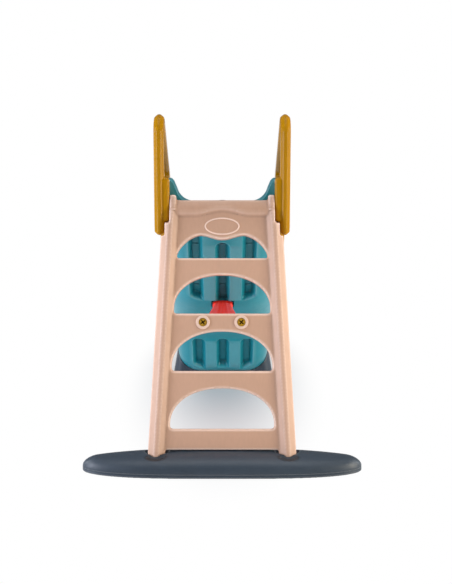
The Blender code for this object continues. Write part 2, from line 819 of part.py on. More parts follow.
def drill(place, bite):
    """The cutter for one screw: counterbore, clearance bore and the blind hole behind it."""
    clamp = thickness_under(place)
    head = 0.5 * SCREW_HEAD + SCREW_HOLE_GAP
    shank = 0.5 * SCREW_SHANK + SCREW_HOLE_GAP
    sink = min(COUNTERBORE_DEPTH, 0.55 * clamp)
    return turned(
        [
            (0.0, -clamp - bite),
            (shank, -clamp - bite),
            (shank, -sink),
            (head, -sink),
            (head, 0.03),
            (0.0, 0.03),
        ],
        "drill",
        place,
        12,
    )


def build_screw(name, place, material):
    """A pan-head screw with a cross recess, seated at the bottom of its counterbore."""
    clamp = thickness_under(place)
    sink = min(COUNTERBORE_DEPTH, 0.55 * clamp)
    seat = -sink + SCREW_HOLE_GAP
    head = 0.5 * SCREW_HEAD
    shank = 0.5 * SCREW_SHANK
    tip = -clamp - WOOD_BITE + 2.0 * SCREW_HOLE_GAP
    screw = turned(
        [
            (0.0, tip),
            (0.35 * shank, tip),
            (shank, tip + 0.004),
            (shank, seat),
            (head, seat),
            (head, seat + 0.4 * SCREW_HEAD_HEIGHT),
            (0.72 * head, seat + 0.85 * SCREW_HEAD_HEIGHT),
            (0.0, seat + SCREW_HEAD_HEIGHT),
        ],
        name,
        place,
        12,
    )
    recess_cross(screw, place, seat + SCREW_HEAD_HEIGHT, 0.55 * head, 0.0018)
    finish(screw, material)
    return screw


def recess_cross(screw, place, top, reach, depth):
    """Two crossed slots in a screw head."""
    width = 0.20 * reach
    for low, high in (
        ((-reach, -width, top - depth), (reach, width, top + 0.01)),
        ((-width, -reach, top - depth), (width, reach, top + 0.01)),
    ):
        cut(screw, box("slot", low, high, place))


# Base bar


def base_half_depth(x):
    share = min(1.0, abs(x) / (0.5 * BASE_LENGTH))
    return 0.5 * BASE_DEPTH * max(0.0, 1.0 - share**BASE_PLAN_POWER) ** 0.5


def base_height(x):
    """Highest point of the bar's cross-section: a shallow crown that rounds off at the tips."""
    crown = BASE_HEIGHT - BASE_SHOULDER_DROP * (x / BASE_SHOULDER_X) ** 2
    beyond = (abs(x) - BASE_SHOULDER_X) / (0.5 * BASE_LENGTH - BASE_SHOULDER_X)
    if beyond <= 0.0:
        return crown
    return BASE_TIP_HEIGHT + (crown - BASE_TIP_HEIGHT) * math.sqrt(max(0.0, 1.0 - beyond**2))


def build_base(material):
    rings = []
    half = 0.5 * BASE_LENGTH
    for station in range(BASE_STATIONS + 1):
        share = math.cos(math.pi * (1.0 - station / BASE_STATIONS))
        x = half * math.copysign(abs(share) ** 0.9, share) * 0.9995
        depth = max(0.006, base_half_depth(x))
        height = base_height(x)
        ring = [(x, -depth, 0.0), (x, depth, 0.0)]
        for step in range(BASE_RING_HALF * 2 + 1):
            angle = math.pi * step / (BASE_RING_HALF * 2)
            power = 2.0 / BASE_SECTION_POWER
            y = depth * math.copysign(abs(math.cos(angle)) ** power, math.cos(angle))
            z = (height - BASE_EDGE_HEIGHT) * math.sin(angle) ** power if 0 < angle < math.pi else 0.0
            ring.append((x, y, BASE_EDGE_HEIGHT + z))
        rings.append(ring)
    base = loft(rings, "base_bar")
    for side in (-1.0, 1.0):
        grow = FIT_GAP
        dish_v = ladder_v(BASE_HEIGHT, RAIL_AXIS_N)
        socket = loft(
            [
                level_rail_ring(SOCKET_FLOOR, grow),
                rail_ring(dish_v - SOCKET_DISH_DEPTH, grow),
                rail_ring(dish_v, grow + SOCKET_DISH_WIDTH),
                rail_ring(dish_v + SOCKET_DISH_DEPTH, grow + 2.0 * SOCKET_DISH_WIDTH),
            ],
            "socket",
            LADDER_PLACE,
        )
        if side < 0.0:
            other = reflected(socket, "other_socket")
            bpy.data.objects.remove(socket, do_unlink=True)
            socket = other
        cut(base, socket)
        cut(base, drill(foot_screw_place(side), WOOD_BITE))
    finish(base, material)
    return base


# Chute: path of the sliding surface


def chute_corners():
    deck_end = DECK_REAR_Y + DECK_LENGTH
    upper_run = (DECK_HEIGHT - UPPER_SLOPE_END) / math.tan(UPPER_SLOPE)
    middle_run = (UPPER_SLOPE_END - MIDDLE_SLOPE_END) / math.tan(MIDDLE_SLOPE)
    lower_run = (MIDDLE_SLOPE_END - RUNOUT_HEIGHT) / math.tan(LOWER_SLOPE)
    y1 = deck_end + upper_run
    y2 = y1 + middle_run
    y3 = y2 + lower_run
    return [
        (DECK_REAR_Y, DECK_HEIGHT, 0.0),
        (deck_end, DECK_HEIGHT, DECK_BEND),
        (y1, UPPER_SLOPE_END, UPPER_BEND),
        (y2, MIDDLE_SLOPE_END, MIDDLE_BEND),
        (y3, RUNOUT_HEIGHT, RUNOUT_BEND),
        (RUNOUT_END_Y, RUNOUT_HEIGHT, 0.0),
    ]


def chute_path():
    """Points (y, z) along the sliding surface, with round bends as arcs."""
    corners = chute_corners()
    points = [Vector(corners[0][:2])]
    for index in range(1, len(corners) - 1):
        corner = Vector(corners[index][:2])
        before = (Vector(corners[index - 1][:2]) - corner).normalized()
        after = (Vector(corners[index + 1][:2]) - corner).normalized()
        radius = corners[index][2]
        opening = before.angle(after)
        reach = radius / math.tan(opening / 2.0)
        centre = corner + (before + after).normalized() * radius / math.sin(opening / 2.0)
        start = corner + before * reach - centre
        sweep = math.pi - opening
        turn = 1.0 if before.cross(after) < 0.0 else -1.0
        steps = max(2, math.ceil(sweep / math.radians(8.0)))
        for step in range(steps + 1):
            points.append(centre + Matrix.Rotation(turn * sweep * step / steps, 2) @ start)
    points.append(Vector(corners[-1][:2]))
    return points


PATH = chute_path()
PATH_LENGTHS = [0.0]
for path_from, path_to in zip(PATH, PATH[1:]):
    PATH_LENGTHS.append(PATH_LENGTHS[-1] + (path_to - path_from).length)
PATH_TOTAL = PATH_LENGTHS[-1]


def path_point(distance):
    """Point and upward normal of the sliding surface at a distance along it."""
    distance = min(max(distance, 0.0), PATH_TOTAL)
    index = 0
    while index < len(PATH) - 2 and PATH_LENGTHS[index + 1] < distance:
        index += 1
    span = PATH_LENGTHS[index + 1] - PATH_LENGTHS[index]
    share = (distance - PATH_LENGTHS[index]) / span
    here = PATH[index].lerp(PATH[index + 1], share)
    return here, path_normal(index, share)


def path_normal(index, share):
    def leg(count):
        count = min(max(count, 0), len(PATH) - 2)
        direction = (PATH[count + 1] - PATH[count]).normalized()
        return Vector((-direction.y, direction.x))

    if share < 0.5:
        return leg(index - 1).lerp(leg(index), 0.5 + share).normalized()
    return leg(index).lerp(leg(index + 1), share - 0.5).normalized()


def distance_at_height(height):
    """Distance along the path at which the underside reaches a height."""
    low, high = 0.0, PATH_TOTAL
    for _ in range(40):
        middle = 0.5 * (low + high)
        here, normal = path_point(middle)
        if here.y - normal.y * chute_thickness(middle) > height:
            low = middle
        else:
            high = middle
    return low


def distance_at_y(y):
    """Distance along the path at which the sliding surface lies this far down the slide."""
    for index, (near, far) in enumerate(zip(PATH, PATH[1:])):
        if far[0] >= y:
            share = (y - near[0]) / (far[0] - near[0])
            return PATH_LENGTHS[index] + share * (PATH_LENGTHS[index + 1] - PATH_LENGTHS[index])
    return PATH_TOTAL


def chute_thickness(distance):
    """Thin at the deck, thicker on the slope, and down to the front foot's plate at the run-out."""
    runout_start = PATH_TOTAL - (RUNOUT_END_Y - chute_corners()[4][0])
    runout_thickness = RUNOUT_HEIGHT - FOOT_PLATE - FIT_GAP
    deck_flat = DECK_LENGTH - DECK_BEND * math.tan(0.5 * UPPER_SLOPE)
    if distance < 2.0 * DECK_LENGTH - deck_flat:
        share = max(0.0, distance - deck_flat) / (2.0 * (DECK_LENGTH - deck_flat))
        return DECK_THICKNESS + (SLOPE_THICKNESS - DECK_THICKNESS) * share
    if distance < runout_start - RUNOUT_BLEND:
        return SLOPE_THICKNESS
    share = min(1.0, (distance - runout_start + RUNOUT_BLEND) / RUNOUT_BLEND)
    return SLOPE_THICKNESS + (runout_thickness - SLOPE_THICKNESS) * share


def groove_share(distance, grooves):
    """0 outside the grooves and 1 inside them, with a short ramp at each end."""
    share = 0.0
    for start, end in grooves:
        rise = (distance - start) / GROOVE_RAMP
        fall = (end - distance) / GROOVE_RAMP
        share = max(share, min(1.0, rise, fall))
    return max(0.0, share)


def trough_top():
    """Half of the trough's top outline from the rim's outside to the middle, as (x, h) points."""
    points = [(SHELL_GAP_X, RIM_SIDE_LOW), (SHELL_GAP_X, RIM_SIDE_HIGH)]
    outer_bend = SHELL_GAP_X - RIM_TOP_X
    for degrees in (35.0, 65.0, 90.0):
        angle = math.radians(degrees)
        points.append(
            (
                RIM_TOP_X + outer_bend * math.cos(angle),
                RIM_HEIGHT - outer_bend + outer_bend * math.sin(angle),
            )
        )
    points.append((0.5 * (RIM_TOP_X + WALL_TOP_X), 0.6 * RIM_HEIGHT + 0.4 * WALL_TOP_HEIGHT))
    points.append((WALL_TOP_X, WALL_TOP_HEIGHT))
    arc_steps = 6
    for step in range(arc_steps + 1):
        angle = TROUGH_ARC * (1.0 - step / arc_steps)
        points.append(
            (
                FLOOR_HALF_WIDTH + TROUGH_RADIUS * math.sin(angle),
                TROUGH_RADIUS * (1.0 - math.cos(angle)),
            )
        )
    return points


def underside_half(thickness, grow=0.0):
    """Half of the underside from the middle to the outer wall, as (x, h) points."""
    reach = SHELL_GAP_X - OUTER_WALL_DRAFT + grow - UNDERSIDE_HALF_WIDTH
    points = []
    steps = 20
    for step in range(steps + 1):
        angle = 0.5 * math.pi * step / steps
        x = UNDERSIDE_HALF_WIDTH + reach * math.sin(angle)
        h = OUTER_WALL_SPRING - (OUTER_WALL_SPRING + thickness) * math.cos(angle)
        points.append((x, h))
    return points


UNDERSIDE_REACH = SHELL_GAP_X - OUTER_WALL_DRAFT - UNDERSIDE_HALF_WIDTH


def underside_height(x, thickness):
    x = abs(x)
    if x <= UNDERSIDE_HALF_WIDTH:
        return -thickness
    share = (x - UNDERSIDE_HALF_WIDTH) / UNDERSIDE_REACH
    return OUTER_WALL_SPRING - (OUTER_WALL_SPRING + thickness) * math.sqrt(max(0.0, 1.0 - share**2))


def chute_section(distance, grooves):
    """The whole cross-section, counterclockwise from the right rim's outer side."""
    thickness = chute_thickness(distance)
    top = trough_top()
    section = list(top) + [(-x, h) for x, h in reversed(top)]
    edge = GROOVE_SPACING + 0.5 * GROOVE_MOUTH
    limit = math.asin((edge - UNDERSIDE_HALF_WIDTH) / UNDERSIDE_REACH)
    outer = []
    steps = 6
    for step in range(steps):
        angle = 0.5 * math.pi + (limit - 0.5 * math.pi) * step / steps
        x = UNDERSIDE_HALF_WIDTH + UNDERSIDE_REACH * math.sin(angle)
        outer.append((x, underside_height(x, thickness)))
    section += [(-x, h) for x, h in outer]
    half_mouth = 0.5 * GROOVE_MOUTH
    half_floor = 0.5 * GROOVE_FLOOR
    for column in (-1, 0, 1):
        centre = GROOVE_SPACING * column
        depth = GROOVE_DEPTH * groove_share(distance, grooves[abs(column)])
        for x, inside in (
            (centre - half_mouth, 0.0),
            (centre - half_floor, depth),
            (centre + half_floor, depth),
            (centre + half_mouth, 0.0),
        ):
            section.append((x, underside_height(x, thickness) + inside))
    section += list(reversed(outer))
    return section


def side_spread(distance):
    """How far the side walls stand out at a place along the path."""
    y = path_point(distance)[0].x
    rise = (y - HANDRAIL_FRONT_Y - SPREAD_AHEAD) / SPREAD_RAMP
    fall = (FOOT_REAR_Y - y) / SPREAD_FADE
    share = max(0.0, min(1.0, rise, fall))
    return SIDE_SPREAD * share * share * (3.0 - 2.0 * share)


def place_section(section, distance):
    """A cross-section in the slide's frame, its walls spread and its middle left as it is."""
    here, normal = path_point(distance)
    spread = side_spread(distance)
    ring = []
    for x, h in section:
        outward = math.copysign(spread * (abs(x) / SHELL_GAP_X) ** SPREAD_POWER, x)
        ring.append((x + outward, here.x + normal.x * h, here.y + normal.y * h))
    return ring


def groove_spans():
    """Start and end of each groove along the path: the middle one's first, then the side ones'."""
    lower = (distance_at_height(LOWER_GROOVES_START_Z), distance_at_height(LOWER_GROOVES_END_Z))
    spans = []
    for start_z, end_z in (
        (MIDDLE_GROOVE_START_Z, MIDDLE_GROOVE_END_Z),
        (SIDE_GROOVES_START_Z, SIDE_GROOVES_END_Z),
    ):
        spans.append([(distance_at_height(start_z), distance_at_height(end_z)), lower])
    return spans


def chute_stations(grooves):
    """Distances along the path that the shape needs: bends, groove ends and a few between."""
    wanted = {0.3 * DECK_LENGTH, PATH_TOTAL - RUNOUT_BLEND}
    spread_start = HANDRAIL_FRONT_Y + SPREAD_AHEAD
    for share in (0.0, 0.25, 0.5, 0.75, 1.0):
        wanted.add(distance_at_y(spread_start + share * SPREAD_RAMP))
        wanted.add(distance_at_y(FOOT_REAR_Y - share * SPREAD_FADE))
    for column in grooves:
        for start, end in column:
            wanted.update((start, start + GROOVE_RAMP, end - GROOVE_RAMP, end))
    bends = [value for value in PATH_LENGTHS if all(abs(value - kept) > 0.005 for kept in wanted)]
    last = PATH_TOTAL - EXIT_ROUNDING
    ordered = []
    for value in sorted(wanted | set(bends)):
        if 0.0 <= value < last - 0.01 and (not ordered or value - ordered[-1] > 0.001):
            ordered.append(value)
    return ordered + [last]


def build_chute(material):
    grooves = groove_spans()
    rings = [
        place_section(chute_section(distance, grooves), distance)
        for distance in chute_stations(grooves)
    ]
    full = chute_section(PATH_TOTAL, grooves)
    middle_h = 0.5 * (RUNOUT_HEIGHT - FOOT_PLATE) - (RUNOUT_HEIGHT - FOOT_PLATE)
    for degrees in (30.0, 60.0, 85.0):
        angle = math.radians(degrees)
        distance = PATH_TOTAL - EXIT_ROUNDING * (1.0 - math.sin(angle))
        shrink = 0.45 + 0.55 * math.cos(angle)
        ring = []
        for x, h in full:
            lower = middle_h + (h - middle_h) * shrink
            across = x * (0.93 + 0.07 * math.cos(angle))
            ring.append((across, lower))
        rings.append(place_section(ring, distance))
    chute = loft(rings, "chute")

    cut(chute, pocket_cutter())
    hole = 0.5 * NOZZLE_STEM + SCREW_HOLE_GAP
    cut(
        chute,
        turned(
            [(0.0, -0.1), (hole, -0.1), (hole, 0.05), (0.0, 0.05)],
            "inlet_hole",
            Matrix.Translation((0.0, INLET_Y, DECK_HEIGHT)),
        ),
    )
    for side in (-1.0, 1.0):
        for y, z in chute_screw_points():
            cut(chute, drill(handrail_screw_place(side, y, z), WOOD_BITE))
        cut(chute, drill(front_foot_screw_place(side), WOOD_BITE))
    finish(chute, material)
    return chute


def point_above_path(y, height):
    """World (y, z) of a point at a height over the sliding surface, found from its y."""
    low, high = 0.0, PATH_TOTAL
    for _ in range(40):
        middle = 0.5 * (low + high)
        here, normal = path_point(middle)
        if here.x + normal.x * height < y:
            low = middle
        else:
            high = middle
    here, normal = path_point(low)
    return here.x + normal.x * height, here.y + normal.y * height


def chute_screw_points():
    return [point_above_path(DECK_SCREW_Y, DECK_SCREW_H), point_above_path(SIDE_SCREW_Y, DECK_SCREW_H)]


# Front foot


def build_front_foot(material):
    half = FOOT_HALF_WIDTH
    rings = []
    steps = 5
    for station in range(2 * steps + 2):
        near_rear = station <= steps
        count = station if near_rear else 2 * steps + 1 - station
        angle = 0.5 * math.pi * count / steps
        tuck = FOOT_CORNER * (1.0 - math.sin(angle))
        offset = FOOT_CORNER * (1.0 - math.cos(angle))
        y = FOOT_REAR_Y + offset if near_rear else FOOT_FRONT_Y - offset
        low, high = half - tuck, half - tuck - FOOT_SIDE_DRAFT * FOOT_HEIGHT
        rings.append(
            [
                (-low, y, 0.0),
                (low, y, 0.0),
                (low - FOOT_SIDE_DRAFT * 0.7 * FOOT_HEIGHT, y, 0.7 * FOOT_HEIGHT),
                (high, y, FOOT_HEIGHT),
                (-high, y, FOOT_HEIGHT),
                (-low + FOOT_SIDE_DRAFT * 0.7 * FOOT_HEIGHT, y, 0.7 * FOOT_HEIGHT),
            ]
        )
    foot = loft(rings, "front_foot")
    cut(foot, chute_void())
    for side in (-1.0, 1.0):
        cut(foot, drill(front_foot_screw_place(side), WOOD_BITE))
    finish(foot, material)
    return foot


def chute_void():
    """The chute's outer form without grooves, a clearance larger, for cutting its cradle."""
    rings = []
    for distance in chute_stations(groove_spans()):
        thickness = chute_thickness(distance) + FIT_GAP
        half = underside_half(thickness, FIT_GAP)
        half.append((SHELL_GAP_X + FIT_GAP, RIM_SIDE_LOW))
        half.append((SHELL_GAP_X + FIT_GAP, 0.9 * RUNOUT_BEND))
        section = half + [(-x, h) for x, h in reversed(half)]
        rings.append(place_section(section, distance))
    here, normal = path_point(PATH_TOTAL)
    beyond = [(x, y + 0.05, z) for x, y, z in rings[-1]]
    rings.append(beyond)
    return loft(rings, "chute_void")


# Handrails


# A handrail is drawn in (y, z) and stands across X.
HANDRAIL_STAND = Matrix(((0, 0, 1, 0), (1, 0, 0, 0), (0, 1, 0, 0), (0, 0, 0, 1)))


def handrail_outline():
    rise = math.sqrt(1.0 + HANDRAIL_FALL**2)
    centre_y = HANDRAIL_REAR_Y + HANDRAIL_TOP_BEND
    # Height of the falling top edge over the rear edge, so that the round top reaches its height.
    corner_z = HANDRAIL_TOP_Z - HANDRAIL_TOP_BEND + HANDRAIL_TOP_BEND * rise
    corner_z += HANDRAIL_FALL * (centre_y - HANDRAIL_REAR_Y)
    front_z = corner_z - HANDRAIL_FALL * (HANDRAIL_FRONT_Y - HANDRAIL_REAR_Y)
    outline = rounded_outline(
        [
            (HANDRAIL_REAR_Y, HANDRAIL_BOTTOM_Z, 0.0135),
            (HANDRAIL_REAR_Y + HANDRAIL_BAR, HANDRAIL_BOTTOM_Z, 0.0135),
            (HANDRAIL_REAR_Y + HANDRAIL_BAR, WEB_BOTTOM_Z, 0.004),
            (WEB_TURN_Y, WEB_TURN_Z, 0.060),
            (HANDRAIL_FRONT_Y - HANDRAIL_FRONT_FOOT, HANDRAIL_FRONT_BOTTOM_Z, 0.022),
            (HANDRAIL_FRONT_Y, HANDRAIL_FRONT_BOTTOM_Z, 0.020),
            (HANDRAIL_FRONT_Y, front_z, HANDRAIL_FRONT_BEND),
            (HANDRAIL_REAR_Y, corner_z, HANDRAIL_TOP_BEND),
        ]
    )
    opening_y = HANDRAIL_REAR_Y + HANDRAIL_BAR
    upper_z = corner_z - HANDRAIL_BAR * rise - HANDRAIL_FALL * HANDRAIL_BAR
    reach = (upper_z - WEB_TOP_Z) / (HANDRAIL_FALL - WEB_TOP_FALL)
    opening = rounded_outline(
        [
            (opening_y, WEB_TOP_Z, 0.018),
            (opening_y + reach, WEB_TOP_Z - WEB_TOP_FALL * reach, 0.009),
            (opening_y, upper_z, 0.026),
        ]
    )
    return outline, opening


def handrail_pad(grow):
    """The thick pad that carries a handrail's rear side on the rail's tongue."""
    outline = rounded_outline(
        [
            (PAD_REAR_Y - grow, PAD_BOTTOM_Z - grow, 0.010),
            (PAD_FRONT_Y + grow, PAD_BOTTOM_Z - grow, 0.006),
            (PAD_FRONT_Y + grow, PAD_TOP_Z - PAD_TOP_DROP + grow, 0.006),
            (PAD_REAR_Y - grow, PAD_TOP_Z + grow, 0.010),
        ]
    )
    low = TONGUE_OUTER_X + FIT_GAP - grow
    return rounded_plate(outline, low, HANDRAIL_INNER_X + 0.012, PAD_EDGE, "pad", HANDRAIL_STAND)


def build_handrail(name, material):
    """The right-hand loop handrail, a rounded plate form with a grip opening and a recessed web."""
    outline, opening = handrail_outline()
    stand = HANDRAIL_STAND
    inner = HANDRAIL_INNER_X
    outer = HANDRAIL_INNER_X + HANDRAIL_THICKNESS
    handrail = rounded_plate(outline, inner, outer, HANDRAIL_EDGE, name, stand)
    cut(handrail, flared_hole(opening, inner, outer, HANDRAIL_EDGE, stand))
    join(handrail, handrail_pad(0.0))
    margin = WEB_MARGIN
    low_z = WEB_BOTTOM_Z + margin
    high_z = WEB_TOP_Z - 1.5 * margin
    corner = min(WEB_RECESS_CORNER, 0.25 * (high_z - low_z))
    recess = rounded_outline(
        [
            (HANDRAIL_REAR_Y + HANDRAIL_BAR, low_z, corner),
            (WEB_TURN_Y + 0.4 * margin, WEB_TURN_Z + margin, 2.5 * corner),
            (HANDRAIL_FRONT_Y - WEB_RECESS_FRONT, WEB_TURN_Z - 3.5 * margin, corner),
            (HANDRAIL_FRONT_Y - 0.75 * WEB_RECESS_FRONT, high_z - 3.5 * margin, corner),
            (HANDRAIL_REAR_Y + HANDRAIL_BAR, high_z, corner),
        ]
    )
    tool = rounded_plate(recess, outer - WEB_RECESS, outer + 0.02, 0.003, "web_recess", stand)
    cut(handrail, tool)
    points = [(RAIL_SCREW_Y, RAIL_SCREW_Z)] + chute_screw_points()
    for y, z in points:
        cut(handrail, drill(handrail_screw_place(1.0, y, z), WOOD_BITE))
    finish(handrail, material)
    return handrail


# Strut between the ladder's second step and the chute


def brace_frame():
    """Frame of the strut: Z runs from the ladder to the chute, X across, Y upwards."""
    root_n = -PANEL_DEPTH - FIT_GAP
    root = LADDER_PLACE @ Vector((0.0, BRACE_ROOT_V, root_n))
    end_y, end_z = underside_at_y(BRACE_END_Y)
    end = Vector((0.0, end_y, end_z))
    along = (end - root).normalized()
    across = Vector((-1.0, 0.0, 0.0))
    up = along.cross(across)
    frame = Matrix((across, up, along)).transposed().to_4x4()
    frame.translation = root
    return frame, (end - root).length


def underside_at_y(y):
    low, high = 0.0, PATH_TOTAL
    for _ in range(40):
        middle = 0.5 * (low + high)
        here, normal = path_point(middle)
        if here.x - normal.x * chute_thickness(middle) < y:
            low = middle
        else:
            high = middle
    here, normal = path_point(low)
    thickness = chute_thickness(low)
    return here.x - normal.x * thickness, here.y - normal.y * thickness


def pocket_cutter():
    """The pocket in the chute's underside that the strut's head sits in."""
    frame, length = brace_frame()
    half = 0.5 * BRACE_HEAD_WIDTH + POCKET_CLEARANCE
    top = 0.5 * BRACE_HEAD_HEIGHT + POCKET_TOP_CLEARANCE
    bottom = -0.5 * BRACE_HEAD_HEIGHT - POCKET_DROP
    return box("pocket", (-half, bottom, length - 0.06), (half, top, length + POCKET_DEPTH), frame)


def build_brace(material):
    frame, length = brace_frame()
    head_back = length + POCKET_DEPTH - FIT_GAP
    head_front = head_back - BRACE_HEAD_THICKNESS
    neck = length - BRACE_NECK_BEFORE_END
    half_height = 0.5 * BRACE_HEIGHT

    def station(distance, width, height):
        half = 0.5 * width
        return [
            (-half, -height, distance),
            (half, -height, distance),
            (half, 0.6 * height, distance),
            (0.55 * half, height, distance),
            (-0.55 * half, height, distance),
            (-half, 0.6 * height, distance),
        ]

    brace = loft(
        [
            station(0.012, BRACE_ROOT_WIDTH, half_height),
            station(neck, BRACE_NECK_WIDTH, half_height),
            station(head_front + 0.001, BRACE_NECK_WIDTH, half_height),
        ],
        "brace",
        frame,
    )
    head_half = 0.5 * BRACE_HEAD_WIDTH
    head_top = 0.5 * BRACE_HEAD_HEIGHT
    head = box("head", (-head_half, -head_top, head_front), (head_half, head_top, head_back), frame)
    join(brace, head)
    half_flange = 0.5 * BRACE_FLANGE_WIDTH
    flange_n = -PANEL_DEPTH - FIT_GAP
    low_v = BRACE_ROOT_V - 0.5 * BRACE_FLANGE_HEIGHT
    flange = box(
        "flange",
        (-half_flange, low_v, flange_n - BRACE_FLANGE_THICKNESS),
        (half_flange, low_v + BRACE_FLANGE_HEIGHT, flange_n),
        LADDER_PLACE,
    )
    join(brace, flange)
    root = box(
        "root",
        (-0.5 * BRACE_ROOT_WIDTH, BRACE_ROOT_V - half_height, flange_n - 0.024),
        (0.5 * BRACE_ROOT_WIDTH, BRACE_ROOT_V + half_height, flange_n - 0.001),
        LADDER_PLACE,
    )
    join(brace, root)
    for side in (-1.0, 1.0):
        place = LADDER_PLACE @ Matrix.Translation((side * BRACE_SCREW_X, BRACE_ROOT_V, 0.0))
        radius = 0.5 * BRACE_SCREW_SHANK + 0.0045
        deep = BOSS_RING_RELIEF - BRACE_SCREW_LENGTH - 0.006
        boss = turned(
            [(0.0, deep), (radius, deep), (radius, flange_n - 0.002), (0.0, flange_n - 0.002)],
            "boss",
            place,
        )
        join(brace, boss)
        bore = 0.5 * BRACE_SCREW_SHANK + SCREW_HOLE_GAP
        end = BOSS_RING_RELIEF - BRACE_SCREW_LENGTH - SCREW_HOLE_GAP
        hole = turned([(0.0, end), (bore, end), (bore, 0.01), (0.0, 0.01)], "hole", place)
        cut(brace, hole)
    below = -5.0 * half_height
    roof = 0.2 * half_height
    hollow_rings = []
    for distance, half in (
        (BRACE_HOLLOW_START, 0.5 * BRACE_ROOT_WIDTH - BRACE_HOLLOW_SIDE),
        (neck - BRACE_HOLLOW_START, 0.5 * BRACE_NECK_WIDTH - 0.5 * BRACE_HOLLOW_SIDE),
    ):
        hollow_rings.append(
            [
                (-half, below, distance),
                (half, below, distance),
                (half, roof, distance),
                (-half, roof, distance),
            ]
        )
    hollow = loft(hollow_rings, "hollow", frame)
    cut(brace, hollow)
    finish(brace, material)
    return brace


def build_brace_screw(name, side, material):
    """A large plastic screw whose flat head has a cross recess."""
    place = LADDER_PLACE @ Matrix.Translation((side * BRACE_SCREW_X, BRACE_ROOT_V, 0.0))
    top = BOSS_RING_RELIEF - 0.0008
    seat = BOSS_RING_RELIEF - BRACE_SCREW_HEAD_HEIGHT + SCREW_HOLE_GAP
    head = 0.5 * BRACE_SCREW_HEAD
    shank = 0.5 * BRACE_SCREW_SHANK
    tip = BOSS_RING_RELIEF - BRACE_SCREW_LENGTH
    screw = turned(
        [
            (0.0, tip),
            (0.6 * shank, tip),
            (shank, tip + 0.004),
            (shank, seat),
            (head, seat),
            (head, top - 0.0012),
            (head - 0.0012, top),
            (0.0, top),
        ],
        name,
        place,
    )
    recess_cross(screw, place, top, 0.55 * head, 0.0032)
    finish(screw, material)
    return screw


# Water inlet, from the nozzle on the deck down to the hose nut


def inlet_levels():
    """Heights of the inlet's faces, from the deck down."""
    deck_under = DECK_HEIGHT - DECK_THICKNESS
    levels = {}
    levels["gasket_low"] = DECK_HEIGHT + FIT_GAP
    levels["flange_low"] = levels["gasket_low"] + GASKET_THICKNESS + FIT_GAP
    levels["lock_top"] = deck_under - FIT_GAP
    levels["lock_low"] = levels["lock_top"] - LOCK_NUT_HEIGHT
    levels["stem_low"] = levels["lock_low"] - STEM_BELOW_NUT
    levels["nut_top"] = levels["stem_low"] - 2.0 * FIT_GAP
    levels["lip_low"] = levels["nut_top"] - NUT_LIP
    levels["collar_top"] = levels["lip_low"] - FIT_GAP
    levels["collar_low"] = levels["collar_top"] - TAIL_COLLAR_HEIGHT
    levels["washer_top"] = levels["collar_low"] - FIT_GAP
    levels["washer_low"] = levels["washer_top"] - WASHER_THICKNESS
    levels["nut_low"] = levels["nut_top"] - NUT_HEIGHT
    return levels


def inlet_place():
    return Matrix.Translation((0.0, INLET_Y, 0.0))


def build_nozzle(material):
    level = inlet_levels()
    flange = 0.5 * NOZZLE_FLANGE
    stem = 0.5 * NOZZLE_STEM
    bore = 0.5 * NOZZLE_BORE
    top = level["flange_low"] + NOZZLE_FLANGE_HEIGHT
    nozzle = turned(
        [
            (bore, level["stem_low"]),
            (stem, level["stem_low"]),
            (stem, level["flange_low"]),
            (flange, level["flange_low"]),
            (flange, level["flange_low"] + 0.0015),
            (0.6 * flange, top),
            (0.15 * flange, top + 0.0005),
            (0.15 * flange, level["flange_low"] + 0.0015),
            (bore, level["flange_low"] + 0.0005),
        ],
        "spray_nozzle",
        inlet_place(),
    )
    for slot in range(NOZZLE_SLOTS):
        angle = math.pi * (slot + 0.5) / NOZZLE_SLOTS
        turn = inlet_place() @ Matrix.Rotation(angle, 4, "Z")
        reach = 0.38 * flange
        low = (0.18 * flange, -0.0006, level["flange_low"] + 0.0005)
        high = (0.18 * flange + reach, 0.0006, top + 0.01)
        cut(nozzle, box("slot", low, high, turn))
    finish(nozzle, material)
    return nozzle


def build_gasket(material):
    level = inlet_levels()
    outer = 0.5 * NOZZLE_FLANGE - 0.0015
    inner = 0.5 * NOZZLE_STEM + SCREW_HOLE_GAP
    low = level["gasket_low"]
    high = low + GASKET_THICKNESS
    gasket = turned(
        [(inner, low), (outer, low), (outer, high), (inner, high)], "nozzle_gasket", inlet_place()
    )
    finish(gasket, material)
    return gasket


def build_lock_nut(material):
    """A six-sided nut on the nozzle's stem, under the deck."""
    level = inlet_levels()
    radius = 0.5 * LOCK_NUT_WIDTH / math.cos(math.pi / 6.0)
    inner = 0.5 * NOZZLE_STEM + FIT_GAP
    rings = []
    for height in (level["lock_low"], level["lock_top"]):
        angles = [math.pi / 3.0 * corner for corner in range(6)]
        rings.append([(radius * math.cos(a), radius * math.sin(a), height) for a in angles])
    nut = loft(rings, "inlet_lock_nut", inlet_place())
    bore = turned(
        [
            (0.0, level["lock_low"] - 0.01),
            (inner, level["lock_low"] - 0.01),
            (inner, level["lock_top"] + 0.01),
            (0.0, level["lock_top"] + 0.01),
        ],
        "bore",
        inlet_place(),
    )
    cut(nut, bore)
    finish(nut, material)
    return nut


def build_hose_tail(material):
    """The tail that plugs into the nozzle's stem and carries the hose nut on its collar."""
    level = inlet_levels()
    plug = 0.5 * NOZZLE_BORE - FIT_GAP
    neck = 0.5 * TAIL_NECK
    collar = 0.5 * TAIL_COLLAR
    bore = 0.5 * TAIL_BORE
    shoulder = level["stem_low"] - FIT_GAP
    tail = turned(
        [
            (bore, level["collar_low"]),
            (collar, level["collar_low"]),
            (collar, level["collar_top"]),
            (neck, level["collar_top"]),
            (neck, shoulder),
            (plug, shoulder),
            (plug, level["stem_low"] + 0.030),
            (bore, level["stem_low"] + 0.030),
        ],
        "hose_tail",
        inlet_place(),
    )
    finish(tail, material)
    return tail


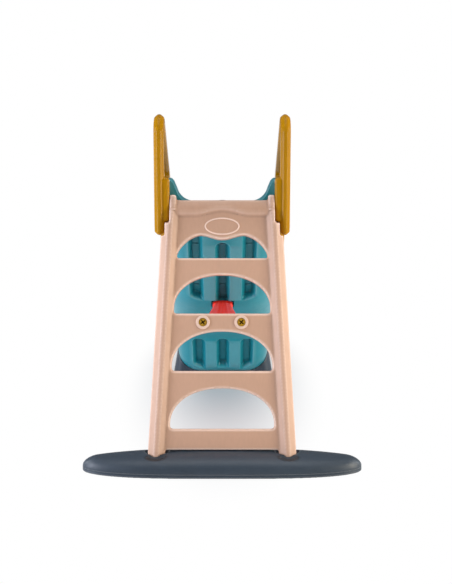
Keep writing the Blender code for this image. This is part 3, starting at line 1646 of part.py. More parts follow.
def build_washer(material):
    level = inlet_levels()
    outer = 0.5 * NUT_CAVITY - 0.0008
    washer = turned(
        [
            (0.5 * TAIL_BORE + 0.001, level["washer_low"]),
            (outer, level["washer_low"]),
            (outer, level["washer_top"]),
            (0.5 * TAIL_BORE + 0.001, level["washer_top"]),
        ],
        "hose_washer",
        inlet_place(),
    )
    finish(washer, material)
    return washer


def build_hose_nut(material):
    """The free-turning nut that takes a garden hose, with grip lobes round its outside."""
    level = inlet_levels()
    segments = NUT_LOBES * 6
    outer = 0.5 * NUT_CAVITY + NUT_WALL
    cavity = 0.5 * NUT_CAVITY
    lip = 0.5 * TAIL_NECK + FIT_GAP
    drop = level["nut_top"]
    profile = [
        (lip, 0.0, 0.0),
        (outer - 0.0015, 0.0, 0.0),
        (outer, -0.002, 1.0),
        (outer, -NUT_HEIGHT + 0.003, 1.0),
        (outer - 0.001, -NUT_HEIGHT, 0.0),
        (cavity, -NUT_HEIGHT, 0.0),
        (cavity, -NUT_LIP, 0.0),
        (lip, -NUT_LIP, 0.0),
    ]
    bm = bmesh.new()
    loops = []
    for radius, height, lobed in profile:
        loop = []
        for step in range(segments):
            angle = 2.0 * math.pi * step / segments
            grip = NUT_LOBE_RELIEF * lobed * (0.5 + 0.5 * math.cos(NUT_LOBES * angle))
            reach = radius + grip
            loop.append(bm.verts.new((reach * math.cos(angle), reach * math.sin(angle), height)))
        loops.append(loop)
    for lower, upper in zip(loops, loops[1:] + loops[:1]):
        for index in range(segments):
            after = (index + 1) % segments
            bm.faces.new((lower[index], lower[after], upper[after], upper[index]))
    nut = add_object("hose_nut", bm, Matrix.Translation((0.0, INLET_Y, drop)))
    finish(nut, material)
    return nut


def build_slide():
    clear_scene()
    pink = finish_material("clay pink polyethylene", CLAY_PINK, 0.42)
    teal = finish_material("teal polyethylene", TEAL, 0.38)
    mustard = finish_material("mustard polyethylene", MUSTARD, 0.36)
    slate = finish_material("slate polyethylene", SLATE, 0.50)
    red = finish_material("red polypropylene", SIGNAL_RED, 0.35)
    rubber = finish_material("black rubber", BLACK_RUBBER, 0.80)
    steel = finish_material("zinc-plated steel", STEEL, 0.35, 1.0)

    build_base(slate)
    build_ladder(pink)
    build_chute(teal)
    build_front_foot(slate)
    build_brace(red)
    right = build_handrail("handrail_right", mustard)
    finish(reflected(right, "handrail_left"), mustard)
    for word, side in (("left", -1.0), ("right", 1.0)):
        build_brace_screw("brace_screw_" + word, side, mustard)
        build_screw("base_screw_" + word, foot_screw_place(side), steel)
        build_screw("front_foot_screw_" + word, front_foot_screw_place(side), steel)
        deck_point, side_point = chute_screw_points()
        rail_point = (RAIL_SCREW_Y, RAIL_SCREW_Z)
        for part, (y, z) in (("rail", rail_point), ("deck", deck_point), ("wall", side_point)):
            name = "handrail_" + part + "_screw_" + word
            build_screw(name, handrail_screw_place(side, y, z), steel)
    build_nozzle(slate)
    build_gasket(rubber)
    build_lock_nut(slate)
    build_hose_tail(slate)
    build_washer(rubber)
    build_hose_nut(mustard)


build_slide()
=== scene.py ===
"""Looks of a kids water slide, seen from behind its stepped ladder: clay-pink ladder, slate base bar, teal
chute, two mustard loop handrails, a red strut and the small water inlet under the deck.
"""

import math

import bmesh
import bpy
import numpy as np
from mathutils import Matrix, Vector


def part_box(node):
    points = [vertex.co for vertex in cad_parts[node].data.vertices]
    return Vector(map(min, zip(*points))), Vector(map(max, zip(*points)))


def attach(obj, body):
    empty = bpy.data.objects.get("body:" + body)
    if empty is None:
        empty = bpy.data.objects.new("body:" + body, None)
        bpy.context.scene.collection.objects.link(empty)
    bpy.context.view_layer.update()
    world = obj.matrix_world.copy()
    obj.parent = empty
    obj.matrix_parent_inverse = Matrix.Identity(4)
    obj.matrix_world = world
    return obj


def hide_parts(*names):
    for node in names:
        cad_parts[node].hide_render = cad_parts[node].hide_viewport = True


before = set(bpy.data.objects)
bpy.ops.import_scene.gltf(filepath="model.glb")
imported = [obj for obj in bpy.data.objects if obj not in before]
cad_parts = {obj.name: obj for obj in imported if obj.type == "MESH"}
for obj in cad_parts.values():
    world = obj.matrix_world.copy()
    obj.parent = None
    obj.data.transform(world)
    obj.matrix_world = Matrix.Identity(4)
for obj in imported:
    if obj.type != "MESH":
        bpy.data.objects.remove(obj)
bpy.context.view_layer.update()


# Base bar: one hollow bar of blow-moulded polyethylene in slate, with the mould's parting lip low on its
# side. The ladder's two feet stand in dished sockets in its top and are screwed on from underneath.

BAR_LENGTH = 0.785
BAR_DEPTH = 0.151
BAR_HEIGHT = 0.0552
BAR_SHOULDER_X = 0.350
BAR_SHOULDER_DROP = 0.014
BAR_TIP_HEIGHT = 0.014
BAR_EDGE_HEIGHT = 0.006
BAR_EDGE_ROUND = 0.0015
BAR_LIP = 0.0012
BAR_PLAN_POWER = 3.4
BAR_SECTION_POWER = 0.8
BAR_STATIONS = 96
BAR_ARC_STEPS = 36
BAR_END_TRIM = 0.9992
SOCKET_FLOOR = 0.016
DISH_WIDTH = 0.0095
# The dish round each foot, from its bottom up: height from its middle, and share of its width.
DISH_FLARE = ((-0.022, 0.0), (-0.016, 0.35), (-0.006, 1.0), (0.016, 1.7))
SCOOP_X = 0.186
SCOOP_Y = -0.036
SCOOP_Z = 0.0630
SCOOP_SIZE = (0.037, 0.023, 0.0225)
SCOOP_SHADE = -0.75
SCOOP_FADE = 1.20
SEAM_HEIGHT = 0.0115
SEAM_SIZES = (0.0022, 0.0020, 0.0007)
SEAM_POINTS = 160
SLATE = (0.034, 0.050, 0.072)
FIT_GAP = 0.0003

LADDER_LEAN = math.radians(16.7)
LADDER_FOOT_Y = -0.020
RAIL_FOOT_X = 0.1871
RAIL_TAPER = 0.0548
RAIL_HALF_WIDTH = 0.0245
RAIL_REAR_N = 0.013
RAIL_FRONT_N = -0.037
RAIL_FLAT = 0.24
RAIL_CHAMFER = 0.0150
RAIL_FRONT_RADIUS = 0.010
RAIL_SHOULDER_RADIUS = 0.006
RAIL_BACK_RADIUS = 0.0035
RING_POINTS = 72
SIN_LEAN = math.sin(LADDER_LEAN)
COS_LEAN = math.cos(LADDER_LEAN)
# The ladder's own frame: x across, v up the slope, n out towards the climber.
ON_LADDER = Matrix(
    (
        (1.0, 0.0, 0.0, 0.0),
        (0.0, SIN_LEAN, -COS_LEAN, LADDER_FOOT_Y),
        (0.0, COS_LEAN, SIN_LEAN, 0.0),
        (0.0, 0.0, 0.0, 1.0),
    )
)


def piece_from(name, bm, place=None):
    """A new piece whose place is in its mesh, with its faces turned outwards."""
    if place is not None:
        bm.transform(place)
    bmesh.ops.remove_doubles(bm, verts=bm.verts, dist=1e-6)
    bmesh.ops.recalc_face_normals(bm, faces=bm.faces)
    mesh = bpy.data.meshes.new(name)
    bm.to_mesh(mesh)
    bm.free()
    piece = bpy.data.objects.new(name, mesh)
    bpy.context.collection.objects.link(piece)
    return piece


def skin(rings, name, place=None):
    """A closed body through rings of equal point count."""
    bm = bmesh.new()
    loops = [[bm.verts.new(point) for point in ring] for ring in rings]
    for lower, upper in zip(loops, loops[1:]):
        for index in range(len(lower)):
            after = (index + 1) % len(lower)
            bm.faces.new((lower[index], lower[after], upper[after], upper[index]))
    bm.faces.new(reversed(loops[0]))
    bm.faces.new(loops[-1])
    return piece_from(name, bm, place)


def bake(piece):
    """Turn the piece's modifiers into plain mesh."""
    bpy.context.view_layer.update()
    depsgraph = bpy.context.evaluated_depsgraph_get()
    mesh = bpy.data.meshes.new_from_object(piece.evaluated_get(depsgraph))
    piece.modifiers.clear()
    piece.data = mesh


def work(piece, tool, operation):
    """Cut one shape out of a piece or weld it on, and take the tool away."""
    boolean = piece.modifiers.new("work", "BOOLEAN")
    boolean.operation = operation
    boolean.object = tool
    boolean.solver = "EXACT"
    bake(piece)
    bpy.data.objects.remove(tool, do_unlink=True)


def mirrored(piece, name):
    """The same piece on the slide's other side."""
    bm = bmesh.new()
    bm.from_mesh(piece.data)
    bm.transform(Matrix.Scale(-1.0, 4, (1.0, 0.0, 0.0)))
    bmesh.ops.reverse_faces(bm, faces=bm.faces)
    return piece_from(name, bm)


def blow(piece, grain, passes):
    """Remake a piece as an even skin and relax it, which gives each edge the soft radius of blown plastic."""
    even = piece.modifiers.new("even skin", "REMESH")
    even.mode = "VOXEL"
    even.voxel_size = grain
    even.adaptivity = 0.0
    relax = piece.modifiers.new("relax", "SMOOTH")
    relax.factor = 0.5
    relax.iterations = passes
    bake(piece)
    piece.data.shade_smooth()


# A bend of one is a rounding of about 8 mm radius, and sharper ones count up to the limit.
BEND_OF_ONE = 60.0
BEND_LIMIT = 1.5


def mark_bends(piece, passes=2):
    """Store how far the skin bulges or dips at each point, for painted highlights on rounded edges and
    painted shade in creases.
    """
    mesh = piece.data
    count = len(mesh.vertices)
    points = np.empty(count * 3)
    mesh.vertices.foreach_get("co", points)
    points = points.reshape(-1, 3)
    normals = np.empty(count * 3)
    mesh.vertex_normals.foreach_get("vector", normals)
    normals = normals.reshape(-1, 3)
    ends = np.empty(len(mesh.edges) * 2, dtype=np.int64)
    mesh.edges.foreach_get("vertices", ends)
    one, two = ends.reshape(-1, 2).T
    reach = points[two] - points[one]
    length = np.maximum((reach**2).sum(axis=1), 1e-10)
    degree = np.bincount(one, minlength=count) + np.bincount(two, minlength=count)
    degree = np.maximum(degree, 1)
    bend = np.bincount(one, -(reach * normals[one]).sum(axis=1) / length, count)
    bend += np.bincount(two, (reach * normals[two]).sum(axis=1) / length, count)
    bend = np.clip(bend / degree / BEND_OF_ONE, -BEND_LIMIT, BEND_LIMIT)
    for _ in range(passes):
        spread = np.bincount(one, bend[two], count) + np.bincount(two, bend[one], count)
        bend = 0.5 * bend + 0.5 * spread / degree
    attribute = mesh.attributes.new("bend", "FLOAT", "POINT")
    attribute.data.foreach_set("value", bend.astype(np.float32))


def ladder_v(height, n):
    return (height - n * SIN_LEAN) / COS_LEAN


def evened(outline, count):
    """The same closed outline with its points spaced evenly, starting on its right side."""
    start = max(range(len(outline)), key=lambda index: outline[index].x)
    outline = outline[start:] + outline[:start] + [outline[start]]
    steps = [(b - a).length for a, b in zip(outline, outline[1:])]
    total = sum(steps)
    points = []
    index = 0
    gone = 0.0
    for number in range(count):
        target = total * number / count
        while gone + steps[index] < target:
            gone += steps[index]
            index += 1
        points.append(outline[index].lerp(outline[index + 1], (target - gone) / steps[index]))
    return points


def corner_arc(corner, before, after, radius, steps=None):
    """Points on the arc that rounds a corner between the directions to its two neighbours."""
    opening = before.angle(after)
    reach = radius / math.tan(opening / 2.0)
    centre = corner + (before + after).normalized() * radius / math.sin(opening / 2.0)
    start = corner + before * reach - centre
    sweep = math.pi - opening
    steps = steps or max(4, math.ceil(sweep / math.radians(2.5)))
    turn = 1.0 if before.cross(after) < 0.0 else -1.0
    return [centre + Matrix.Rotation(turn * sweep * step / steps, 2) @ start for step in range(steps + 1)]


def rounded(corners, steps=6):
    """A polygon of (a, b, radius) corners with each corner drawn as an arc."""
    points = []
    for index, (a, b, radius) in enumerate(corners):
        corner = Vector((a, b))
        before = (Vector(corners[index - 1][:2]) - corner).normalized()
        after = (Vector(corners[(index + 1) % len(corners)][:2]) - corner).normalized()
        if radius <= 0.0 or before.angle(after) > math.pi - 1e-4:
            points.append(corner)
        else:
            points += corner_arc(corner, before, after, radius, steps)
    return points


def rail_outline(half_width, grow):
    """A rail's section: flat back between two wide chamfers, upright sides and a rounded front."""
    wide = half_width + grow
    flat = RAIL_FLAT * half_width + 0.4 * grow
    rear = RAIL_REAR_N + grow
    front = RAIL_FRONT_N - grow
    outline = rounded(
        [
            (wide, front, RAIL_FRONT_RADIUS),
            (wide, rear - RAIL_CHAMFER, RAIL_SHOULDER_RADIUS),
            (flat, rear, RAIL_BACK_RADIUS),
            (-flat, rear, RAIL_BACK_RADIUS),
            (-wide, rear - RAIL_CHAMFER, RAIL_SHOULDER_RADIUS),
            (-wide, front, RAIL_FRONT_RADIUS),
        ]
    )
    return evened(outline, RING_POINTS)


def rail_ring(v_at, grow=0.0):
    ring = []
    for point in rail_outline(RAIL_HALF_WIDTH, grow):
        v = v_at(point.y)
        ring.append((RAIL_FOOT_X - RAIL_TAPER * v + point.x, v, point.y))
    return ring


def feed(tree, node, inputs):
    """Set a node's inputs to plain values, or join them to the outputs of other nodes."""
    for name, value in inputs.items():
        if isinstance(value, bpy.types.NodeSocket):
            tree.links.new(value, node.inputs[name])
        else:
            node.inputs[name].default_value = value
    return node


def add_node(tree, kind, inputs, **settings):
    node = tree.nodes.new(kind)
    for name, value in settings.items():
        setattr(node, name, value)
    return feed(tree, node, inputs)


def new_group(name, kind, takes, gives):
    """An empty node group with named inputs and outputs, its input sockets and its output node."""
    group = bpy.data.node_groups.new(name, kind + "NodeTree")
    for way, sockets in (("INPUT", takes), ("OUTPUT", gives)):
        for label, sort in sockets.items():
            group.interface.new_socket(label, in_out=way, socket_type="NodeSocket" + sort)
    given = group.nodes.new("NodeGroupInput")
    return group, given.outputs, group.nodes.new("NodeGroupOutput")


def node_material(name):
    material = bpy.data.materials.new(name)
    material.use_nodes = True
    return material, material.node_tree


SKIN_AMOUNTS = {
    "Mottling": 0.05,
    "Flow Lines": 0.02,
    "Edge Wear": 0.15,
    "Crease Dust": 0.25,
    "Roughness": 0.42,
    "Scuffs": 0.10,
    "Peel": 0.00004,
    "Waves": 0.00012,
    "Top Browning": 0.0,
}
FLOW_STRETCH = (170.0, 170.0, 9.0)
TOP_SHADE_FROM_Z = 0.56
TOP_SHADE_TO_Z = 0.76


def moulded_skin_group():
    """The surface of moulded polyethylene: soft mottling, faint flow lines and orange peel, with painted
    highlights on rounded edges, painted shade in creases and painted shade towards the top.
    """
    group, given, result = new_group(
        "moulded polyethylene skin",
        "Shader",
        {"Colour": "Color", **dict.fromkeys(SKIN_AMOUNTS, "Float")},
        {"Colour": "Color", "Roughness": "Float", "Height": "Float"},
    )
    for item in group.interface.items_tree:
        if item.in_out == "INPUT" and item.name in SKIN_AMOUNTS:
            item.default_value = SKIN_AMOUNTS[item.name]
    spot = add_node(group, "ShaderNodeTexCoord", {}).outputs["Object"]

    def noise(scale, detail, vector=spot):
        inputs = {"Vector": vector, "Scale": scale, "Detail": detail}
        return add_node(group, "ShaderNodeTexNoise", inputs).outputs["Fac"]

    def maths(operation, *values):
        node = add_node(group, "ShaderNodeMath", dict(enumerate(values)), operation=operation)
        return node.outputs["Value"]

    def spread(value, low, high, to_low=0.0, to_high=1.0):
        inputs = {"Value": value, "From Min": low, "From Max": high, "To Min": to_low, "To Max": to_high}
        return add_node(group, "ShaderNodeMapRange", inputs).outputs["Result"]

    clouds = spread(noise(7.0, 3.0), 0.3, 0.7, -1.0)
    blotches = spread(noise(38.0, 2.0), 0.3, 0.7, -1.0)
    mottle = maths("ADD", maths("MULTIPLY", clouds, 0.7), maths("MULTIPLY", blotches, 0.3))
    stretched = add_node(group, "ShaderNodeMapping", {"Vector": spot, "Scale": FLOW_STRETCH})
    flow = spread(noise(1.0, 2.0, stretched.outputs["Vector"]), 0.35, 0.65, -1.0)
    bend = add_node(group, "ShaderNodeAttribute", {}, attribute_name="bend").outputs["Fac"]
    # Painted highlight: rounded edges are lightened towards white, standing in for the light they catch.
    painted_edge_highlight = maths("MULTIPLY", spread(bend, 0.10, 0.9), given["Edge Wear"])
    # Painted shade: creases and hollows are darkened, standing in for the shade that falls in them.
    dust = maths("MULTIPLY", spread(bend, -0.08, -0.7), given["Crease Dust"])
    # Painted shade: the colour gets darker towards the top.
    height = add_node(group, "ShaderNodeSeparateXYZ", {"Vector": spot}).outputs["Z"]
    painted_top_shade = maths("MULTIPLY", spread(height, TOP_SHADE_FROM_Z, TOP_SHADE_TO_Z), given["Top Browning"])
    shade = maths("MULTIPLY_ADD", mottle, given["Mottling"], 1.0)
    shade = maths("MULTIPLY_ADD", flow, given["Flow Lines"], shade)
    shade = maths("SUBTRACT", maths("SUBTRACT", shade, dust), painted_top_shade)
    tint = add_node(group, "ShaderNodeVectorMath", {0: given["Colour"], "Scale": shade}, operation="SCALE")
    paler = add_node(group, "ShaderNodeVectorMath", {0: tint.outputs["Vector"], 1: painted_edge_highlight}, operation="ADD")
    scuffs = spread(noise(60.0, 6.0), 0.45, 0.75)
    peel = maths("MULTIPLY", noise(650.0, 2.0), given["Peel"])
    waves = maths("MULTIPLY", noise(34.0, 1.0), given["Waves"])
    surface = {
        "Colour": paler.outputs["Vector"],
        "Roughness": maths("MULTIPLY_ADD", scuffs, given["Scuffs"], given["Roughness"]),
        "Height": maths("ADD", peel, waves),
    }
    feed(group, result, surface)
    return group


MOULDED_SKIN = moulded_skin_group()


def moulded_material(name, colour, gloss, **amounts):
    """A moulded plastic finish: the shared skin with this piece's own colour and amounts."""
    material, tree = node_material(name)
    inputs = {label.replace("_", " ").title(): amount for label, amount in amounts.items()}
    inputs["Colour"] = (*colour, 1.0)
    surface = add_node(tree, "ShaderNodeGroup", inputs, node_tree=MOULDED_SKIN).outputs
    relief = {"Strength": 1.0, "Distance": 1.0, "Height": surface["Height"]}
    finish = {
        "IOR": 1.50,
        "Specular IOR Level": gloss,
        "Base Color": surface["Colour"],
        "Roughness": surface["Roughness"],
        "Normal": add_node(tree, "ShaderNodeBump", relief).outputs["Normal"],
    }
    feed(tree, tree.nodes["Principled BSDF"], finish)
    return material


# A small screw's seat from its bottom out: height over the face of the head, and room round the head.
SEAT_PROFILE = ((-0.0046, 0.0004), (0.0002, 0.0004), (0.0012, 0.0014), (0.0200, 0.0014))
SEAT_POINTS = 48


def screw_seat(piece, node, along, way):
    """Sink a small screw's seat into the moulding, on the axis along and from the side it enters."""
    low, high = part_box(node)
    middle = [0.5 * (a + b) for a, b in zip(low, high)]
    across = [axis for axis in range(3) if axis != along]
    face = high[along] if way > 0.0 else low[along]
    rings = []
    for reach, room in SEAT_PROFILE:
        wide = 0.5 * (high[across[0]] - low[across[0]]) + room
        ring = []
        for step in range(SEAT_POINTS):
            angle = math.tau * step / SEAT_POINTS
            point = [0.0, 0.0, 0.0]
            point[across[0]] = middle[across[0]] + wide * math.cos(angle)
            point[across[1]] = middle[across[1]] + wide * math.sin(angle)
            point[along] = face + way * reach
            ring.append(point)
        rings.append(ring)
    work(piece, skin(rings, "seat"), "DIFFERENCE")


def finished(tree, geometry, material, result):
    """End a geometry tree: its instances are made real and get their material."""
    real = add_node(tree, "GeometryNodeRealizeInstances", {"Geometry": geometry}).outputs["Geometry"]
    done = add_node(tree, "GeometryNodeSetMaterial", {"Geometry": real, "Material": material})
    tree.links.new(done.outputs["Geometry"], result.inputs[0])
    return tree


BEAD_SIZES = ("Width", "Height", "Edge Radius")


def bead_tree():
    """Geometry nodes that sweep a rounded bead along a drawn path."""
    takes = {"Path": "Geometry", **dict.fromkeys(BEAD_SIZES, "Float"), "Material": "Material"}
    tree, given, result = new_group("bead along a path", "Geometry", takes, {"Bead": "Geometry"})
    path = add_node(tree, "GeometryNodeMeshToCurve", {"Mesh": given["Path"]}).outputs["Curve"]
    upright = add_node(tree, "GeometryNodeSetCurveNormal", {"Curve": path}, mode="Z_UP").outputs["Curve"]
    sizes = {"Width": given["Width"], "Height": given["Height"]}
    section = add_node(tree, "GeometryNodeCurvePrimitiveQuadrilateral", sizes).outputs["Curve"]
    rounding = {"Curve": section, "Count": 4, "Radius": given["Edge Radius"]}
    soft = add_node(tree, "GeometryNodeFilletCurve", rounding, mode="POLY").outputs["Curve"]
    swept = add_node(tree, "GeometryNodeCurveToMesh", {"Curve": upright, "Profile Curve": soft})
    smooth = add_node(tree, "GeometryNodeSetShadeSmooth", {"Geometry": swept.outputs["Mesh"]})
    return finished(tree, smooth.outputs["Geometry"], given["Material"], result)


def made_by(tree, name, points, edges, given, place=None):
    """A piece that a geometry node tree makes from drawn points and edges, baked to plain mesh."""
    mesh = bpy.data.meshes.new(name)
    mesh.from_pydata(points, edges, [])
    piece = bpy.data.objects.new(name, mesh)
    bpy.context.collection.objects.link(piece)
    modifier = piece.modifiers.new(tree.name, "NODES")
    modifier.node_group = tree
    for item in tree.interface.items_tree:
        if item.in_out == "INPUT" and item.name in given:
            modifier[item.identifier] = given[item.name]
    bake(piece)
    bm = bmesh.new()
    bm.from_mesh(piece.data)
    if place is not None:
        bm.transform(place)
    bmesh.ops.recalc_face_normals(bm, faces=bm.faces)
    bm.to_mesh(piece.data)
    bm.free()
    return piece


def closed_bead(name, path, sizes, material, place=None):
    """A rounded bead of the given sizes along a closed path."""
    given = dict(zip(BEAD_SIZES, sizes))
    given["Material"] = material
    edges = [(index, (index + 1) % len(path)) for index in range(len(path))]
    return made_by(BEAD, name, path, edges, given, place)


BEAD = bead_tree()


def squared(value, power):
    """A sine or cosine raised to a power with its sign kept, which squares off a round outline."""
    return math.copysign(abs(value) ** power, value)


def bar_half_depth(x):
    share = min(1.0, abs(x) / (0.5 * BAR_LENGTH))
    return 0.5 * BAR_DEPTH * max(0.0, 1.0 - share**BAR_PLAN_POWER) ** 0.5


def bar_top(x):
    crown = BAR_HEIGHT - BAR_SHOULDER_DROP * (x / BAR_SHOULDER_X) ** 2
    beyond = (abs(x) - BAR_SHOULDER_X) / (0.5 * BAR_LENGTH - BAR_SHOULDER_X)
    if beyond <= 0.0:
        return crown
    return BAR_TIP_HEIGHT + (crown - BAR_TIP_HEIGHT) * math.sqrt(max(0.0, 1.0 - beyond**2))


def bar_rings():
    """Sections across the bar, closer together towards its rounded ends."""
    rings = []
    for station in range(BAR_STATIONS + 1):
        share = math.cos(math.pi * (1.0 - station / BAR_STATIONS))
        x = 0.5 * BAR_LENGTH * squared(share, 0.9) * BAR_END_TRIM
        depth = max(BAR_EDGE_HEIGHT, bar_half_depth(x))
        height = bar_top(x)
        ring = [
            (x, -depth + BAR_EDGE_ROUND, 0.0),
            (x, depth - BAR_EDGE_ROUND, 0.0),
            (x, depth, BAR_EDGE_ROUND),
            (x, depth, BAR_EDGE_HEIGHT - 0.001),
        ]
        for step in range(BAR_ARC_STEPS + 1):
            angle = math.pi * step / BAR_ARC_STEPS
            y = (depth - BAR_LIP) * squared(math.cos(angle), BAR_SECTION_POWER)
            rise = math.sin(angle) ** BAR_SECTION_POWER if 0 < step < BAR_ARC_STEPS else 0.0
            ring.append((x, y, BAR_EDGE_HEIGHT + (height - BAR_EDGE_HEIGHT) * rise))
        ring += [(x, -depth, BAR_EDGE_HEIGHT - 0.001), (x, -depth, BAR_EDGE_ROUND)]
        rings.append(ring)
    return rings


base_bar = skin(bar_rings(), "base_bar_moulding")
dish_v = ladder_v(BAR_HEIGHT, 0.5 * (RAIL_REAR_N + RAIL_FRONT_N))
socket_rings = [rail_ring(lambda n: ladder_v(SOCKET_FLOOR, n), FIT_GAP)]
for rise, share in DISH_FLARE:
    socket_rings.append(rail_ring(lambda n: dish_v + rise, FIT_GAP + share * DISH_WIDTH))
socket = skin(socket_rings, "socket", ON_LADDER)
work(base_bar, mirrored(socket, "other_socket"), "DIFFERENCE")
work(base_bar, socket, "DIFFERENCE")
for side in (-1.0, 1.0):
    bm = bmesh.new()
    bmesh.ops.create_uvsphere(bm, u_segments=48, v_segments=24, radius=1.0)
    scoop = Matrix.Translation((side * SCOOP_X, SCOOP_Y, SCOOP_Z)) @ Matrix.Diagonal((*SCOOP_SIZE, 1.0))
    work(base_bar, piece_from("scoop", bm, scoop), "DIFFERENCE")
blow(base_bar, grain=0.0022, passes=3)
for node in ("base_screw_left", "base_screw_right"):
    screw_seat(base_bar, node, 2, -1.0)
mark_bends(base_bar)
# Painted shade: the scoops in front of the feet are darkened as if shaded, fading out over their rims.
for vertex, bend in zip(base_bar.data.vertices, base_bar.data.attributes["bend"].data):
    x, y, z = vertex.co
    reach = Vector((abs(x) - SCOOP_X, y - SCOOP_Y, z - SCOOP_Z))
    away = Vector([part / size for part, size in zip(reach, SCOOP_SIZE)]).length
    if away < SCOOP_FADE:
        bend.value = min(bend.value, SCOOP_SHADE * min(1.0, (SCOOP_FADE - away) / (SCOOP_FADE - 1.0)))
slate_plastic = moulded_material(
    "slate polyethylene", SLATE, 0.46, mottling=0.10, flow_lines=0.03, edge_wear=0.06,
    crease_dust=0.55, roughness=0.42
)
base_bar.data.materials.append(slate_plastic)
seam = []
for step in range(SEAM_POINTS):
    angle = math.tau * step / SEAM_POINTS
    x = (0.5 * BAR_LENGTH - 0.004) * squared(math.cos(angle), BAR_SECTION_POWER)
    y = math.copysign(bar_half_depth(x) - BAR_LIP, math.sin(angle))
    seam.append((x, y if abs(math.sin(angle)) > 1e-6 else 0.0, SEAM_HEIGHT))
parting_line = closed_bead("parting_line", seam, SEAM_SIZES, slate_plastic)
mark_bends(parting_line)
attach(parting_line, "slide")
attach(base_bar, "slide")
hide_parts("base_bar")


# Ladder: one blow-moulded clay-pink frame, two tapering rails with chamfered backs and a stepped panel
# between them. Its top edge is rolled over, and a bare oval plaque is raised under it.

TREADS = (0.1200, 0.2828, 0.4456, 0.6039, 0.7712)
PANEL_DEPTH = 0.030
PANEL_EDGE = 0.0045
STEP_BANDS = (0.0495, 0.0510, 0.0485)
OPENING_HALF_WIDTHS = (0.1475, 0.1433, 0.1383, 0.1318)
ARCH_POWER = 2.15
ARCH_SPRING = 0.010
ARCH_STEPS = 48
OPENING_CORNER = 0.007
HUMP_HEIGHT = 0.0660
DIP_HEIGHT = 0.0535
HUMP_X = 0.0625
SHOULDER_POWER = 1.6
HEAD_DEPTH = 0.045
NOSING_BULGE = 0.008
NOSING_DROP_SIDE = 0.047
NOSING_DROP_MIDDLE = 0.033
NOSING_WAVE = 0.62
NOSING_STATIONS = 56
# The rolled edge from its crease up: share of its drop, and share of its bulge.
NOSING_PROFILE = (
    (1.00, -0.12), (0.97, 0.25), (0.92, 0.52), (0.86, 0.74), (0.77, 0.90),
    (0.66, 0.97), (0.54, 0.94), (0.40, 0.80), (0.26, 0.56), (0.12, 0.22),
)
RAIL_END_V = 0.7422
RAIL_END_ROUNDING = 0.006
TONGUE_TOP_V = 0.785
TONGUE_CORNER = 0.004
TONGUE_OUTER_X = 0.1507
TONGUE_INNER_X = 0.1315
TONGUE_FRONT_N = -0.030
TONGUE_REAR_N = 0.011
LEDGE_V = 0.668
GRIP_INNER_X = 0.1650
PAD_BOTTOM_Z = 0.676
DECK_UNDERSIDE = 0.690
SHELF_HALF_WIDTH = 0.105
SHELF_HEIGHT = 0.030
SHELF_DEPTH = 0.052
PANEL_CLEARANCE = 0.0022
# Cutting blocks reach well past the ladder on every side.
BEYOND = 0.4
STRUT_SCREW_X = 0.0546
STRUT_ROOT_V = 0.4205
BOSS_BORE = 0.0122
BEAD_ROOT = 0.0008
SCREW_SINK = 0.0030
CLAY_PINK = (0.610, 0.372, 0.262)


def inset(points, distance):
    """The same closed outline moved to its left by distance; a counterclockwise one shrinks."""
    moved = []
    for index, point in enumerate(points):
        ahead = (points[(index + 1) % len(points)] - point).normalized()
        behind = (point - points[index - 1]).normalized()
        left = (Vector((-ahead.y, ahead.x)) + Vector((-behind.y, behind.x))).normalized()
        stretch = max(0.5, left.dot(Vector((-ahead.y, ahead.x))))
        moved.append(point + left * distance / stretch)
    return moved


def counterclockwise(points):
    area = sum(a.cross(b) for a, b in zip(points, points[1:] + points[:1]))
    return points if area > 0.0 else points[::-1]


def edge_levels(low, high, edge, steps=4):
    """(inset, level) pairs that round both edges of a plate between two levels."""
    levels = []
    for step in range(steps + 1):
        angle = 0.5 * math.pi * step / steps
        levels.append((edge * (1.0 - math.sin(angle)), low + edge * (1.0 - math.cos(angle))))
    return levels + [(inward, low + high - level) for inward, level in reversed(levels)]


def plate(outline, levels, name, place):
    outline = counterclockwise(outline)
    rings = []
    for inward, level in levels:
        rings.append([(point.x, point.y, level) for point in inset(outline, inward)])
    return skin(rings, name, place)


def opening(outline, low, high, edge, place):
    """The cutter for a hole through a plate, flared so that the hole's edges come out round."""
    levels = edge_levels(low, high, edge)
    levels = [(levels[0][0], low - edge)] + levels + [(levels[-1][0], high + edge)]
    return plate(outline, [(-outward, level) for outward, level in levels], "opening", place)


def arch_outline(tread, half_width, height):
    """An opening with a flattened arch over a straight tread."""
    spring = tread + ARCH_SPRING
    rise = height - ARCH_SPRING

    def foot_corner(side, steps, start):
        corner = Vector((side * (half_width - OPENING_CORNER), tread + OPENING_CORNER))
        angles = [start + 0.5 * math.pi * step / 4 for step in steps]
        return [corner + OPENING_CORNER * Vector((math.cos(angle), math.sin(angle))) for angle in angles]

    points = [Vector((side * (half_width - OPENING_CORNER), tread)) for side in (-1.0, 1.0)]
    points += foot_corner(1.0, range(1, 5), -0.5 * math.pi)
    for step in range(1, ARCH_STEPS):
        angle = math.pi * step / ARCH_STEPS
        across = half_width * squared(math.cos(angle), 2.0 / ARCH_POWER)
        points.append(Vector((across, spring + rise * squared(math.sin(angle), 2.0 / ARCH_POWER))))
    return points + foot_corner(-1.0, range(4), math.pi)


def top_outline(tread, half_width):
    """The top opening: two humps with a dip between them under the plaque."""
    right = []
    for step in range(1, 19):
        angle = 0.5 * math.pi * step / 18
        a = math.cos(angle) ** (2.0 / SHOULDER_POWER)
        b = math.sin(angle) ** (2.0 / SHOULDER_POWER)
        right.append(Vector((HUMP_X + (half_width - HUMP_X) * a, tread + HUMP_HEIGHT * b)))
    middle = 0.5 * (HUMP_HEIGHT + DIP_HEIGHT)
    swing = 0.5 * (HUMP_HEIGHT - DIP_HEIGHT)
    for step in range(1, 12):
        x = HUMP_X * (1.0 - step / 12)
        right.append(Vector((x, tread + middle - swing * math.cos(math.pi * x / HUMP_X))))
    left = [Vector((-point.x, point.y)) for point in reversed(right)]
    ends = [Vector((-half_width, tread)), Vector((half_width, tread))]
    return ends + right + [Vector((0.0, tread + DIP_HEIGHT))] + left


